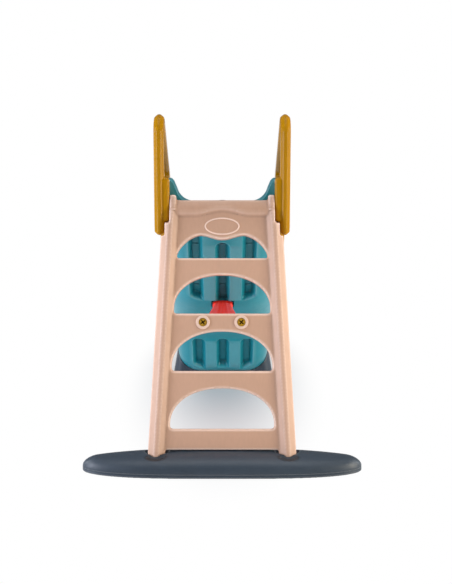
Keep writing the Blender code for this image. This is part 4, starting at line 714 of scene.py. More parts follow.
def superellipse(centre_a, centre_b, half_a, half_b, power, count):
    ring = []
    for step in range(count):
        angle = 2.0 * math.pi * step / count
        a = half_a * squared(math.cos(angle), 2.0 / power)
        b = half_b * squared(math.sin(angle), 2.0 / power)
        ring.append(Vector((centre_a + a, centre_b + b)))
    return ring


def tongue_ring(v, grow):
    """A section of the tongue above a rail's end, which carries a handrail's pad."""
    outer = TONGUE_OUTER_X + min(grow, 0.0)
    inner = TONGUE_INNER_X - grow
    rear = TONGUE_REAR_N + grow
    front = TONGUE_FRONT_N - grow
    corner = TONGUE_CORNER
    outline = rounded(
        [
            (outer, front, 0.5 * corner),
            (outer, rear - corner, 0.5 * corner),
            (outer - corner, rear, 0.5 * corner),
            (inner + corner, rear, 0.5 * corner),
            (inner, rear - corner, 0.5 * corner),
            (inner, front, 0.5 * corner),
        ]
    )
    return [(point.x, v, point.y) for point in evened(outline, RING_POINTS)]


def ladder_rail():
    """One rail, whose rounded end carries a narrower tongue."""
    rounding = RAIL_END_ROUNDING
    rings = [
        rail_ring(lambda n: ladder_v(SOCKET_FLOOR + FIT_GAP, n)),
        rail_ring(lambda n: RAIL_END_V - rounding),
        rail_ring(lambda n: RAIL_END_V - 0.3 * rounding, -0.25 * rounding),
        tongue_ring(RAIL_END_V, 0.25 * rounding),
        tongue_ring(RAIL_END_V + 0.5 * rounding, 0.0),
        tongue_ring(TONGUE_TOP_V - TONGUE_CORNER, 0.0),
        tongue_ring(TONGUE_TOP_V - 0.3 * TONGUE_CORNER, -0.3 * TONGUE_CORNER),
        tongue_ring(TONGUE_TOP_V, -TONGUE_CORNER),
    ]
    return skin(rings, "rail", ON_LADDER)


def rolled_top():
    """The rolled top edge between the tongues, which bulges to the rear over a soft wavy crease."""
    half = RAIL_FOOT_X - RAIL_TAPER * TREADS[4] - 0.5 * RAIL_HALF_WIDTH
    rings = []
    for step in range(NOSING_STATIONS + 1):
        x = half * (2.0 * step / NOSING_STATIONS - 1.0)
        wave = 0.5 * (1.0 + math.cos(math.pi * min(1.0, abs(x) / (NOSING_WAVE * half))))
        drop = NOSING_DROP_SIDE + (NOSING_DROP_MIDDLE - NOSING_DROP_SIDE) * wave
        top = TREADS[4]
        ring = []
        for down, out in NOSING_PROFILE:
            ring.append((x, top - down * drop, out * NOSING_BULGE))
        ring += [
            (x, top, -0.002),
            (x, top, -0.006),
            (x, top, 0.004 - HEAD_DEPTH),
            (x, top - 0.004, -HEAD_DEPTH),
            (x, top - NOSING_DROP_SIDE, -HEAD_DEPTH),
            (x, top - NOSING_DROP_SIDE - 0.012, 0.002 - PANEL_DEPTH),
        ]
        rings.append(ring)
    return skin(rings, "rolled_top", ON_LADDER)


def block(low, high, place=None):
    rings = [
        [(low[0], low[1], z), (high[0], low[1], z), (high[0], high[1], z), (low[0], high[1], z)]
        for z in (low[2], high[2])
    ]
    return skin(rings, "block", place)


reach = RAIL_FOOT_X - 0.5 * RAIL_HALF_WIDTH
low_v = ladder_v(SOCKET_FLOOR, 0.0)
top_reach = reach - RAIL_TAPER * TREADS[4]
panel = [
    Vector((-reach, low_v)),
    Vector((reach, low_v)),
    Vector((top_reach, TREADS[4])),
    Vector((-top_reach, TREADS[4])),
]
ladder = plate(panel, edge_levels(-PANEL_DEPTH, 0.0, PANEL_EDGE), "ladder_moulding", ON_LADDER)
for number in range(3):
    rise = TREADS[number + 1] - TREADS[number] - STEP_BANDS[number]
    hole = arch_outline(TREADS[number], OPENING_HALF_WIDTHS[number], rise)
    work(ladder, opening(hole, -PANEL_DEPTH, 0.0, PANEL_EDGE, ON_LADDER), "DIFFERENCE")
hole = top_outline(TREADS[3], OPENING_HALF_WIDTHS[3])
work(ladder, opening(hole, -PANEL_DEPTH, 0.0, PANEL_EDGE, ON_LADDER), "DIFFERENCE")
below = block((-BEYOND, -BEYOND, -0.05), (BEYOND, BEYOND, BAR_HEIGHT + PANEL_CLEARANCE))
work(ladder, below, "DIFFERENCE")
work(ladder, rolled_top(), "UNION")
rail = ladder_rail()
work(ladder, mirrored(rail, "other_rail"), "UNION")
work(ladder, rail, "UNION")
shelf_top = DECK_UNDERSIDE - FIT_GAP
shelf_y = LADDER_FOOT_Y + SIN_LEAN * ladder_v(shelf_top, -PANEL_DEPTH)
shelf = block(
    (-SHELF_HALF_WIDTH, shelf_y, shelf_top - SHELF_HEIGHT),
    (SHELF_HALF_WIDTH, shelf_y + SHELF_DEPTH, shelf_top),
)
work(ladder, shelf, "UNION")
# Above the rails' ends the sides are cut back, and the tongues leave room for the handrails' pads.
for side in (-1.0, 1.0):
    for clear_x, low, high, place in (
        (GRIP_INNER_X - FIT_GAP, (LEDGE_V, -0.1), (LEDGE_V + 0.2, 0.1), ON_LADDER),
        (TONGUE_OUTER_X, (-0.1, PAD_BOTTOM_Z - FIT_GAP), (0.5, 1.0), None),
    ):
        inner, outer = sorted((side * clear_x, side * 0.3))
        work(ladder, block((inner, *low), (outer, *high), place), "DIFFERENCE")
blow(ladder, grain=0.0030, passes=3)
# The heads of the strut's screws are sunk into the step's face, inside their bosses.
for side in (-1.0, 1.0):
    bore = BOSS_BORE + BEAD_ROOT
    sink = superellipse(side * STRUT_SCREW_X, STRUT_ROOT_V, bore, bore, 2.0, 64)
    work(ladder, plate(sink, ((0.0, -SCREW_SINK), (0.0, 0.010)), "screw_sink", ON_LADDER), "DIFFERENCE")
mark_bends(ladder)
# Painted shade: the pink is darkened towards the top of the ladder, and its rounded edges get a painted
# highlight.
pink_plastic = moulded_material(
    "clay pink polyethylene", CLAY_PINK, 0.45, mottling=0.035, flow_lines=0.015, edge_wear=0.34,
    top_browning=0.20
)
ladder.data.materials.append(pink_plastic)
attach(ladder, "slide")
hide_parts("ladder_frame")


# Plaque ring and screw bosses: raised with the ladder in one moulding, drawn apart for their crisp edges.

OVAL_WIDTH = 0.100
OVAL_HEIGHT = 0.050
OVAL_V = 0.695
OVAL_RING = 0.004
OVAL_RELIEF = 0.0018
BOSS_WIDTH = 0.040
BOSS_RELIEF = 0.003
BEAD_RADIUS = 0.0014
HIGHLIGHT_PINK = (0.730, 0.500, 0.385)


def ring_path(centre_x, centre_v, half_x, half_v, level, count):
    ring = superellipse(centre_x, centre_v, half_x, half_v, 2.0, count)
    return [(point.x, point.y, level) for point in ring]


# Painted highlight: the bosses get a paler pink that stands in for the light caught on their raised rings.
highlighted_pink_plastic = moulded_material(
    "clay pink polyethylene with painted highlight", HIGHLIGHT_PINK, 0.40, mottling=0.03, flow_lines=0.01, edge_wear=0.10
)
half_x = 0.5 * (OVAL_WIDTH - OVAL_RING)
half_v = 0.5 * (OVAL_HEIGHT - OVAL_RING)
oval = ring_path(0.0, OVAL_V, half_x, half_v, -BEAD_ROOT, 96)
ring_sizes = (OVAL_RING, 2.0 * (OVAL_RELIEF + BEAD_ROOT), BEAD_RADIUS)
trims = [closed_bead("plaque_ring", oval, ring_sizes, pink_plastic, ON_LADDER)]
boss_width = 0.5 * BOSS_WIDTH - BOSS_BORE
for word, side in (("left", -1.0), ("right", 1.0)):
    middle = 0.5 * (0.5 * BOSS_WIDTH + BOSS_BORE)
    circle = ring_path(side * STRUT_SCREW_X, STRUT_ROOT_V, middle, middle, 0.0, 72)
    boss_sizes = (boss_width, 2.0 * BOSS_RELIEF, BEAD_RADIUS)
    trims.append(closed_bead("screw_boss_" + word, circle, boss_sizes, highlighted_pink_plastic, ON_LADDER))
for trim in trims:
    mark_bends(trim)
    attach(trim, "slide")


# Chute: a hollow teal moulding with a flat deck, two slopes and a level run-out. Its underside is
# stiffened by three rows of deep tapering grooves, and the water inlet passes through its deck.

DECK_HEIGHT = 0.722
DECK_REAR_Y = 0.2455
DECK_LENGTH = 0.102
UPPER_SLOPE = math.radians(49.0)
MIDDLE_SLOPE = math.radians(37.0)
LOWER_SLOPE = math.radians(54.0)
UPPER_SLOPE_END = 0.372
MIDDLE_SLOPE_END = 0.205
RUNOUT_HEIGHT = 0.064
RUNOUT_END_Y = 1.500
DECK_BEND = 0.050
UPPER_BEND = 0.300
MIDDLE_BEND = 0.260
RUNOUT_BEND = 0.085
RUNOUT_BLEND = 0.16
DECK_THICKNESS = 0.032
SLOPE_THICKNESS = 0.040
FOOT_PLATE = 0.0105
SHELL_HALF = GRIP_INNER_X - FIT_GAP
TROUGH_HALF = 0.085
TROUGH_RADIUS = 0.050
TROUGH_ARC = math.radians(76.0)
WALL_TOP_X = 0.1430
WALL_TOP_HEIGHT = 0.0595
RIM_HEIGHT = 0.068
RIM_TOP_X = 0.1535
RIM_FALL_POWER = 1.6
RIM_LIP = (0.0450, 0.0525)
OUTER_SPRING = 0.022
UNDER_HALF = 0.076
UNDER_REACH = SHELL_HALF - 0.003 - UNDER_HALF
EXIT_ROUNDING = 0.030
# What is left of the chute's height and width at its rounded end.
EXIT_HEIGHT = 0.45
EXIT_WIDTH = 0.93
SPACING = 0.008
FINE_SPACING = 0.0022
NEAR_GROOVE_END = 0.014
GROOVE_SPACING = 0.0844
GROOVE_MOUTH = 0.048
GROOVE_FLOOR = 0.019
GROOVE_DEPTH = 0.027
GROOVE_RAMP = 0.010
GROOVE_ARCH = 0.016
GROOVE_SLANT = 0.009
GROOVE_STRAIGHT = 0.45
# How high the underside is where each groove starts and ends.
MIDDLE_GROOVE = (0.580, 0.335)
SIDE_GROOVE = (0.625, 0.362)
LOWER_GROOVE = (0.170, 0.040)
SIDE_SPREAD = 0.0085
SPREAD_START_Y = 0.633
SPREAD_RAMP = 0.080
SPREAD_END_Y = 0.985
SPREAD_FADE = 0.160
INLET_Y = 0.292
STRUT_END_Y = 0.630
STRUT_HEAD_WIDTH = 0.0665
STRUT_HEAD_HEIGHT = 0.024
POCKET_DEPTH = 0.016
POCKET_ROOM = (0.004, 0.018, 0.002)
INLET_RADIUS = 0.0104
TEAL = (0.012, 0.262, 0.330)
SLOT_HEIGHTS = (0.555, 0.3986, 0.101)
SLOT_SIZE = (0.021, 0.0052, 0.006)


def slide_corners():
    """Corners (y, z, bend radius) of the sliding surface from the deck to the run-out's end."""
    deck_end = DECK_REAR_Y + DECK_LENGTH
    y1 = deck_end + (DECK_HEIGHT - UPPER_SLOPE_END) / math.tan(UPPER_SLOPE)
    y2 = y1 + (UPPER_SLOPE_END - MIDDLE_SLOPE_END) / math.tan(MIDDLE_SLOPE)
    y3 = y2 + (MIDDLE_SLOPE_END - RUNOUT_HEIGHT) / math.tan(LOWER_SLOPE)
    return [
        (DECK_REAR_Y, DECK_HEIGHT, 0.0),
        (deck_end, DECK_HEIGHT, DECK_BEND),
        (y1, UPPER_SLOPE_END, UPPER_BEND),
        (y2, MIDDLE_SLOPE_END, MIDDLE_BEND),
        (y3, RUNOUT_HEIGHT, RUNOUT_BEND),
        (RUNOUT_END_Y, RUNOUT_HEIGHT, 0.0),
    ]


def bent_line(corners):
    """An open line through (y, z, radius) corners with each bend drawn as an arc."""
    points = [Vector(corners[0][:2])]
    for index in range(1, len(corners) - 1):
        corner = Vector(corners[index][:2])
        before = (Vector(corners[index - 1][:2]) - corner).normalized()
        after = (Vector(corners[index + 1][:2]) - corner).normalized()
        points += corner_arc(corner, before, after, corners[index][2])
    points.append(Vector(corners[-1][:2]))
    return points


line_corners = slide_corners()
RUNOUT_START_Y = line_corners[4][0]
LINE = bent_line(line_corners)
LENGTHS = [0.0]
for line_from, line_to in zip(LINE, LINE[1:]):
    LENGTHS.append(LENGTHS[-1] + (line_to - line_from).length)
LINE_TOTAL = LENGTHS[-1]


def on_line(distance):
    """Point and upward normal of the sliding surface at a distance along it."""
    distance = min(max(distance, 0.0), LINE_TOTAL)
    index = 0
    while index < len(LINE) - 2 and LENGTHS[index + 1] < distance:
        index += 1
    share = (distance - LENGTHS[index]) / (LENGTHS[index + 1] - LENGTHS[index])

    def across(number):
        number = min(max(number, 0), len(LINE) - 2)
        run = (LINE[number + 1] - LINE[number]).normalized()
        return Vector((-run.y, run.x))

    if share < 0.5:
        normal = across(index - 1).lerp(across(index), 0.5 + share).normalized()
    else:
        normal = across(index).lerp(across(index + 1), share - 0.5).normalized()
    return LINE[index].lerp(LINE[index + 1], share), normal


def thickness(distance):
    runout_start = LINE_TOTAL - (RUNOUT_END_Y - RUNOUT_START_Y)
    deck_flat = DECK_LENGTH - DECK_BEND * math.tan(0.5 * UPPER_SLOPE)
    if distance < 2.0 * DECK_LENGTH - deck_flat:
        share = max(0.0, distance - deck_flat) / (2.0 * (DECK_LENGTH - deck_flat))
        return DECK_THICKNESS + (SLOPE_THICKNESS - DECK_THICKNESS) * share
    if distance < runout_start - RUNOUT_BLEND:
        return SLOPE_THICKNESS
    share = min(1.0, (distance - runout_start + RUNOUT_BLEND) / RUNOUT_BLEND)
    return SLOPE_THICKNESS + (RUNOUT_HEIGHT - FOOT_PLATE - FIT_GAP - SLOPE_THICKNESS) * share


def distance_where(test):
    low, high = 0.0, LINE_TOTAL
    for _ in range(40):
        middle = 0.5 * (low + high)
        if test(middle):
            low = middle
        else:
            high = middle
    return low


def distance_under(height):
    """Distance along the line at which the underside comes down to a height."""

    def above(distance):
        here, normal = on_line(distance)
        return here.y - normal.y * thickness(distance) > height

    return distance_where(above)


def eased(share):
    share = min(1.0, max(0.0, share))
    return share * share * (3.0 - 2.0 * share)


def trough_top():
    """Half of the trough from the rim's outer side to the middle, as (x, h) points."""
    points = [(SHELL_HALF, h) for h in RIM_LIP]
    bend = SHELL_HALF - RIM_TOP_X
    for degrees in range(15, 91, 15):
        angle = math.radians(degrees)
        points.append((RIM_TOP_X + bend * math.cos(angle), RIM_HEIGHT - bend + bend * math.sin(angle)))
    for share in (0.25, 0.5, 0.75):
        drop = (RIM_HEIGHT - WALL_TOP_HEIGHT) * share**RIM_FALL_POWER
        points.append((RIM_TOP_X + (WALL_TOP_X - RIM_TOP_X) * share, RIM_HEIGHT - drop))
    points.append((WALL_TOP_X, WALL_TOP_HEIGHT))
    arc_end = TROUGH_HALF + TROUGH_RADIUS * math.sin(TROUGH_ARC)
    arc_top = TROUGH_RADIUS * (1.0 - math.cos(TROUGH_ARC))
    for share in (0.33, 0.67):
        points.append(
            (
                WALL_TOP_X + (arc_end - WALL_TOP_X) * share,
                WALL_TOP_HEIGHT + (arc_top - WALL_TOP_HEIGHT) * share,
            )
        )
    for step in range(15):
        angle = TROUGH_ARC * (1.0 - step / 14)
        points.append(
            (TROUGH_HALF + TROUGH_RADIUS * math.sin(angle), TROUGH_RADIUS * (1.0 - math.cos(angle)))
        )
    points += [(0.66 * TROUGH_HALF, 0.0), (0.33 * TROUGH_HALF, 0.0)]
    return points


def under_height(x, thick):
    if abs(x) <= UNDER_HALF:
        return -thick
    share = min(1.0, (abs(x) - UNDER_HALF) / UNDER_REACH)
    return OUTER_SPRING - (OUTER_SPRING + thick) * math.sqrt(max(0.0, 1.0 - share**2))


GROOVE_STEPS = (1.0, 0.94, 0.88, 0.80, 0.72, 0.64, 0.56, 0.48, 0.42, 0.36, 0.28, 0.14)


def groove_profile(offset):
    """How deep the groove is at a share of its half-width: a flat floor and sloping walls."""
    floor = GROOVE_FLOOR / GROOVE_MOUTH
    slope = min(1.0, max(0.0, (1.0 - abs(offset)) / (1.0 - floor)))
    return GROOVE_STRAIGHT * slope + (1.0 - GROOVE_STRAIGHT) * eased(slope)


def chute_section(distance, groove_ends):
    thick = thickness(distance)
    top = trough_top()
    section = [(x, h) for x, h in top] + [(0.0, 0.0)] + [(-x, h) for x, h in reversed(top)]
    under = []
    for step in range(14):
        angle = 0.5 * math.pi * (1.0 - step / 14)
        x = UNDER_HALF + UNDER_REACH * math.sin(angle)
        if x > GROOVE_SPACING + 0.5 * GROOVE_MOUTH + 0.001:
            under.append((-x, 0.0))
    for column in (-1, 0, 1):
        for step in GROOVE_STEPS + (0.0,):
            under.append((GROOVE_SPACING * column - 0.5 * GROOVE_MOUTH * step, 1.0))
        for step in reversed(GROOVE_STEPS):
            under.append((GROOVE_SPACING * column + 0.5 * GROOVE_MOUTH * step, 1.0))
    under += [(-x, inside) for x, inside in reversed([p for p in under if p[1] == 0.0])]
    for x, in_groove in under:
        h = under_height(x, thick)
        if in_groove:
            column = round(x / GROOVE_SPACING)
            offset = (x - GROOVE_SPACING * column) / (0.5 * GROOVE_MOUTH)
            reach = 0.0
            for start, end in groove_ends[abs(column)]:
                from_top = distance - start - GROOVE_ARCH * offset**2
                to_bottom = end - distance - GROOVE_SLANT * offset * column
                reach = max(reach, min(from_top, to_bottom) / GROOVE_RAMP)
            h += GROOVE_DEPTH * groove_profile(offset) * eased(reach)
        section.append((x, h))
    return section


def chute_ring(section, distance):
    """A section in its place, with its walls standing out a little below the handrails."""
    here, normal = on_line(distance)
    rise = (here.x - SPREAD_START_Y) / SPREAD_RAMP
    fall = (SPREAD_END_Y - here.x) / SPREAD_FADE
    spread = SIDE_SPREAD * eased(min(rise, fall))
    ring = []
    for x, h in section:
        outward = math.copysign(spread * (abs(x) / SHELL_HALF) ** 4.0, x)
        ring.append((x + outward, here.x + normal.x * h, here.y + normal.y * h))
    return ring


GROOVE_ENDS = [
    [[distance_under(height) for height in heights] for heights in (upper_groove, LOWER_GROOVE)]
    for upper_groove in (MIDDLE_GROOVE, SIDE_GROOVE)
]
stations = []
distance = 0.0
while distance < LINE_TOTAL - EXIT_ROUNDING:
    stations.append(distance)
    near = any(
        abs(distance - edge) < NEAR_GROOVE_END for column in GROOVE_ENDS for span in column for edge in span
    )
    distance += FINE_SPACING if near else SPACING
rings = [chute_ring(chute_section(distance, GROOVE_ENDS), distance) for distance in stations]
full = chute_section(LINE_TOTAL, GROOVE_ENDS)
middle_h = -0.5 * (RUNOUT_HEIGHT - FOOT_PLATE)
for degrees in range(0, 90, 6):
    angle = math.radians(degrees)
    shrink = EXIT_HEIGHT + (1.0 - EXIT_HEIGHT) * math.cos(angle)
    across = EXIT_WIDTH + (1.0 - EXIT_WIDTH) * math.cos(angle)
    ring = [(x * across, middle_h + (h - middle_h) * shrink) for x, h in full]
    rings.append(chute_ring(ring, LINE_TOTAL - EXIT_ROUNDING * (1.0 - math.sin(angle))))
chute = skin(rings, "chute_moulding")


def strut_frame():
    """Frame of the strut: Z runs from the ladder to the chute, X across and Y upwards."""

    def short_of(distance):
        here, normal = on_line(distance)
        return here.x - normal.x * thickness(distance) < STRUT_END_Y

    root = ON_LADDER @ Vector((0.0, STRUT_ROOT_V, -PANEL_DEPTH - FIT_GAP))
    distance = distance_where(short_of)
    here, normal = on_line(distance)
    end = here - normal * thickness(distance)
    end = Vector((0.0, end.x, end.y))
    along = (end - root).normalized()
    across = Vector((-1.0, 0.0, 0.0))
    placed = Matrix((across, along.cross(across), along)).transposed().to_4x4()
    placed.translation = root
    return placed, (end - root).length


on_strut, strut_length = strut_frame()
pocket_half = 0.5 * STRUT_HEAD_WIDTH + POCKET_ROOM[0]
pocket = block(
    (-pocket_half, -0.5 * STRUT_HEAD_HEIGHT - POCKET_ROOM[1], strut_length - 0.06),
    (pocket_half, 0.5 * STRUT_HEAD_HEIGHT + POCKET_ROOM[2], strut_length + POCKET_DEPTH),
    on_strut,
)
work(chute, pocket, "DIFFERENCE")
inlet = superellipse(0.0, INLET_Y, INLET_RADIUS, INLET_RADIUS, 2.0, 48)
bore = [[(p.x, p.y, z) for p in inlet] for z in (DECK_HEIGHT - 0.1, DECK_HEIGHT + 0.05)]
work(chute, skin(bore, "bore"), "DIFFERENCE")
teal_plastic = moulded_material(
    "teal polyethylene", TEAL, 0.34, mottling=0.06, flow_lines=0.02, edge_wear=0.10,
    crease_dust=0.20, roughness=0.30, peel=0.00002
)


def slot_tree():
    """Geometry nodes that set a small slot shape on each mark, tilted with the slope it sits on."""
    takes = {"Marks": "Geometry", "Size": "Vector", "Tilt": "Float", "Material": "Material"}
    tree, given, result = new_group("slots on marks", "Geometry", takes, {"Slots": "Geometry"})
    shape = add_node(tree, "GeometryNodeMeshCube", {"Size": given["Size"]}).outputs["Mesh"]
    tilt = add_node(tree, "ShaderNodeCombineXYZ", {"X": given["Tilt"]}).outputs["Vector"]
    turn = add_node(tree, "FunctionNodeEulerToRotation", {"Euler": tilt}).outputs["Rotation"]
    inputs = {"Points": given["Marks"], "Instance": shape, "Rotation": turn}
    placed = add_node(tree, "GeometryNodeInstanceOnPoints", inputs)
    return finished(tree, placed.outputs["Instances"], given["Material"], result)


slots = slot_tree()
for height in SLOT_HEIGHTS:
    here, normal = on_line(distance_under(height))
    floor_point = here - normal * (SLOPE_THICKNESS - GROOVE_DEPTH)
    marks = [(GROOVE_SPACING * column, floor_point.x, floor_point.y) for column in (-1, 0, 1)]
    tilt = math.atan2(-normal.x, normal.y)
    given = {"Size": SLOT_SIZE, "Tilt": tilt, "Material": teal_plastic}
    work(chute, made_by(slots, "kiss_off_slots", marks, [], given), "DIFFERENCE")
chute.data.shade_smooth()
chute.data.set_sharp_from_angle(angle=math.radians(40.0))
mark_bends(chute, passes=3)
chute.data.materials.clear()
chute.data.materials.append(teal_plastic)
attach(chute, "slide")
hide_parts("chute")


# Front foot: a slate moulding that cradles the chute's run-out and is screwed to it from underneath.

FOOT_REAR_Y = 0.985
FOOT_FRONT_Y = 1.440
FOOT_HALF = 0.182
FOOT_DRAFT = 0.185
FOOT_HEIGHT = 0.094
FOOT_CORNER = 0.030
FOOT_END_STATIONS = 17
CRADLE_SIDES = (0.045, 0.0765)


def foot_rings():
    rings = []
    for station in range(2 * FOOT_END_STATIONS):
        at_rear = station < FOOT_END_STATIONS
        count = station if at_rear else 2 * FOOT_END_STATIONS - 1 - station
        angle = 0.5 * math.pi * count / (FOOT_END_STATIONS - 1)
        tuck = FOOT_CORNER * (1.0 - math.sin(angle))
        offset = FOOT_CORNER * (1.0 - math.cos(angle))
        y = FOOT_REAR_Y + offset if at_rear else FOOT_FRONT_Y - offset
        low = FOOT_HALF - tuck
        high = low - FOOT_DRAFT * FOOT_HEIGHT
        rings.append([(-low, y, 0.0), (low, y, 0.0), (high, y, FOOT_HEIGHT), (-high, y, FOOT_HEIGHT)])
    return rings


def cradle():
    """The chute's outer form, a clearance larger, which the foot's top is hollowed by."""
    rings = []
    for distance in stations + [LINE_TOTAL]:
        thick = thickness(distance) + FIT_GAP
        half = []
        for step in range(21):
            angle = 0.5 * math.pi * step / 20
            x = UNDER_HALF + (UNDER_REACH + FIT_GAP) * math.sin(angle)
            half.append((x, OUTER_SPRING - (OUTER_SPRING + thick) * math.cos(angle)))
        half += [(SHELL_HALF + FIT_GAP, height) for height in CRADLE_SIDES]
        rings.append(chute_ring(half + [(-x, h) for x, h in reversed(half)], distance))
    rings.append([(x, y + 0.05, z) for x, y, z in rings[-1]])
    return skin(rings, "cradle")


front_foot = skin(foot_rings(), "front_foot_moulding")
work(front_foot, cradle(), "DIFFERENCE")
blow(front_foot, grain=0.0030, passes=3)
for node in ("front_foot_screw_left", "front_foot_screw_right"):
    screw_seat(front_foot, node, 2, -1.0)
mark_bends(front_foot)
front_foot.data.materials.append(slate_plastic)
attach(front_foot, "slide")
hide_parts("front_foot")


# Strut: a red polypropylene moulding with a pleated back, which ties the ladder's third step to the
# chute. A flange behind the step takes two big screws, and its T-shaped head sits in the chute's pocket.

STRUT_FLANGE_WIDTH = 0.156
STRUT_FLANGE_HEIGHT = 0.036
STRUT_FLANGE_THICKNESS = 0.006
STRUT_FLANGE_CORNER = 0.008
STRUT_ROOT_WIDTH = 0.100
STRUT_NECK_WIDTH = 0.050
STRUT_HALF_HEIGHT = 0.011
STRUT_HEAD_THICKNESS = 0.012
STRUT_HEAD_FLARE = 0.008
STRUT_START = 0.012
STRUT_NECK_LENGTH = 0.030
PLEATS = 5
PLEAT_DEPTH = 0.0009
STRUT_CROWN_EDGE = 0.62
STRUT_CROWN_POWER = 2.2
SIGNAL_RED = (0.940, 0.034, 0.016)


def strut_ring(distance, width, height, pleat):
    """One section of the strut: a flat underside and a crowned, pleated back."""
    half = 0.5 * width
    ring = [(-half, -height, distance), (half, -height, distance)]
    for step in range(41):
        across = 1.0 - step / 20.0
        fold = 0.5 * (1.0 + math.cos(2.0 * math.pi * PLEATS * 0.5 * (across + 1.0)))
        crown = STRUT_CROWN_EDGE + (1.0 - STRUT_CROWN_EDGE) * (1.0 - abs(across) ** STRUT_CROWN_POWER)
        ring.append((half * across, height * crown - pleat * fold, distance))
    return ring


head_back = strut_length + POCKET_DEPTH - FIT_GAP
head_front = head_back - STRUT_HEAD_THICKNESS
neck_start = strut_length - STRUT_NECK_LENGTH
strut_rings = []
for step in range(25):
    share = step / 24.0
    width = STRUT_ROOT_WIDTH + (STRUT_NECK_WIDTH - STRUT_ROOT_WIDTH) * share
    distance = STRUT_START + (neck_start - STRUT_START) * share
    strut_rings.append(strut_ring(distance, width, STRUT_HALF_HEIGHT, PLEAT_DEPTH))
for share in (0.25, 0.5, 0.7, 0.85, 0.94):
    distance = neck_start + (head_front - 0.010 - neck_start) * share
    strut_rings.append(strut_ring(distance, STRUT_NECK_WIDTH, STRUT_HALF_HEIGHT, PLEAT_DEPTH))
for share in (0.0, 0.35, 0.7, 1.0):
    width = STRUT_NECK_WIDTH + (STRUT_HEAD_WIDTH - STRUT_NECK_WIDTH) * eased(share)
    height = STRUT_HALF_HEIGHT + (0.5 * STRUT_HEAD_HEIGHT - STRUT_HALF_HEIGHT) * share
    distance = head_front - STRUT_HEAD_FLARE + STRUT_HEAD_FLARE * share
    strut_rings.append(strut_ring(distance, width, height, PLEAT_DEPTH * (1.0 - 0.6 * share)))
strut_rings.append(strut_ring(head_back, STRUT_HEAD_WIDTH, 0.5 * STRUT_HEAD_HEIGHT, 0.4 * PLEAT_DEPTH))
strut = skin(strut_rings, "strut_moulding", on_strut)
flange_n = -PANEL_DEPTH - FIT_GAP
flange = [
    (0.5 * a * STRUT_FLANGE_WIDTH, STRUT_ROOT_V + 0.5 * b * STRUT_FLANGE_HEIGHT, STRUT_FLANGE_CORNER)
    for a, b in ((-1.0, -1.0), (1.0, -1.0), (1.0, 1.0), (-1.0, 1.0))
]
flange_levels = edge_levels(flange_n - STRUT_FLANGE_THICKNESS, flange_n, 0.0015)
work(strut, plate(rounded(flange), flange_levels, "flange", ON_LADDER), "UNION")
root = block(
    (-0.5 * STRUT_ROOT_WIDTH, STRUT_ROOT_V - STRUT_HALF_HEIGHT, flange_n - 0.024),
    (0.5 * STRUT_ROOT_WIDTH, STRUT_ROOT_V + 0.6 * STRUT_HALF_HEIGHT, flange_n - 0.001),
    ON_LADDER,
)
work(strut, root, "UNION")
hollow = []
for distance, half in (
    (0.045, 0.5 * STRUT_ROOT_WIDTH - 0.012),
    (neck_start - 0.045, 0.5 * STRUT_NECK_WIDTH - 0.006),
):
    roof = 0.2 * STRUT_HALF_HEIGHT
    corners = ((-half, -0.05), (half, -0.05), (half, roof), (-half, roof))
    hollow.append([(x, y, distance) for x, y in corners])
work(strut, skin(hollow, "hollow", on_strut), "DIFFERENCE")
blow(strut, grain=0.0014, passes=2)
mark_bends(strut)
red_plastic = moulded_material(
    "red polypropylene", SIGNAL_RED, 0.40, mottling=0.03, flow_lines=0.01, edge_wear=0.03,
    crease_dust=0.06, roughness=0.36, peel=0.00001
)
# Painted light: the red plastic glows faintly, lifting the strut out of the shade between ladder and chute so
# that it never looks quite dark.
red_glow_shader = red_plastic.node_tree.nodes["Principled BSDF"]
red_glow_shader.inputs["Emission Color"].default_value = (0.95, 0.020, 0.010, 1.0)
red_glow_shader.inputs["Emission Strength"].default_value = 0.22
strut.data.materials.append(red_plastic)
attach(strut, "slide")
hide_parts("brace")


# Strut screws: two big mustard plastic screws with coin-sized heads and a deep cross recess, driven
# through the third step into the strut. One has stopped a little further round than the other.

STRUT_SCREW_HEAD = 0.0235
STRUT_SCREW_SHANK = 0.013
STRUT_SCREW_LENGTH = 0.050
STRUT_SCREW_HEIGHT = 0.006
THREAD_PITCH = 0.0034
THREAD_DEPTH = 0.0012
THREAD_FLANK = 0.0014
HEAD_SUNK = 0.0008
HEAD_RIM = 0.0020
HEAD_ROUND = 0.0012
# The head's face from its rim in: share of its radius, and height over its top.
HEAD_FACE = ((0.80, -0.0002), (0.74, -0.0006), (0.68, -0.0002), (0.60, 0.0), (0.2, 0.0004))
# The cross from its floor up: half an arm's length and width, and height over the head's top.
CROSS = ((0.0058, 0.0016, -0.0044), (0.0076, 0.0018, -0.0008), (0.0078, 0.0019, 0.004))
WEATHERED_MUSTARD = (0.430, 0.235, 0.010)
RECESS_SHADE = (0.050, 0.030, 0.008)
MUSTARD = (0.440, 0.205, 0.001)


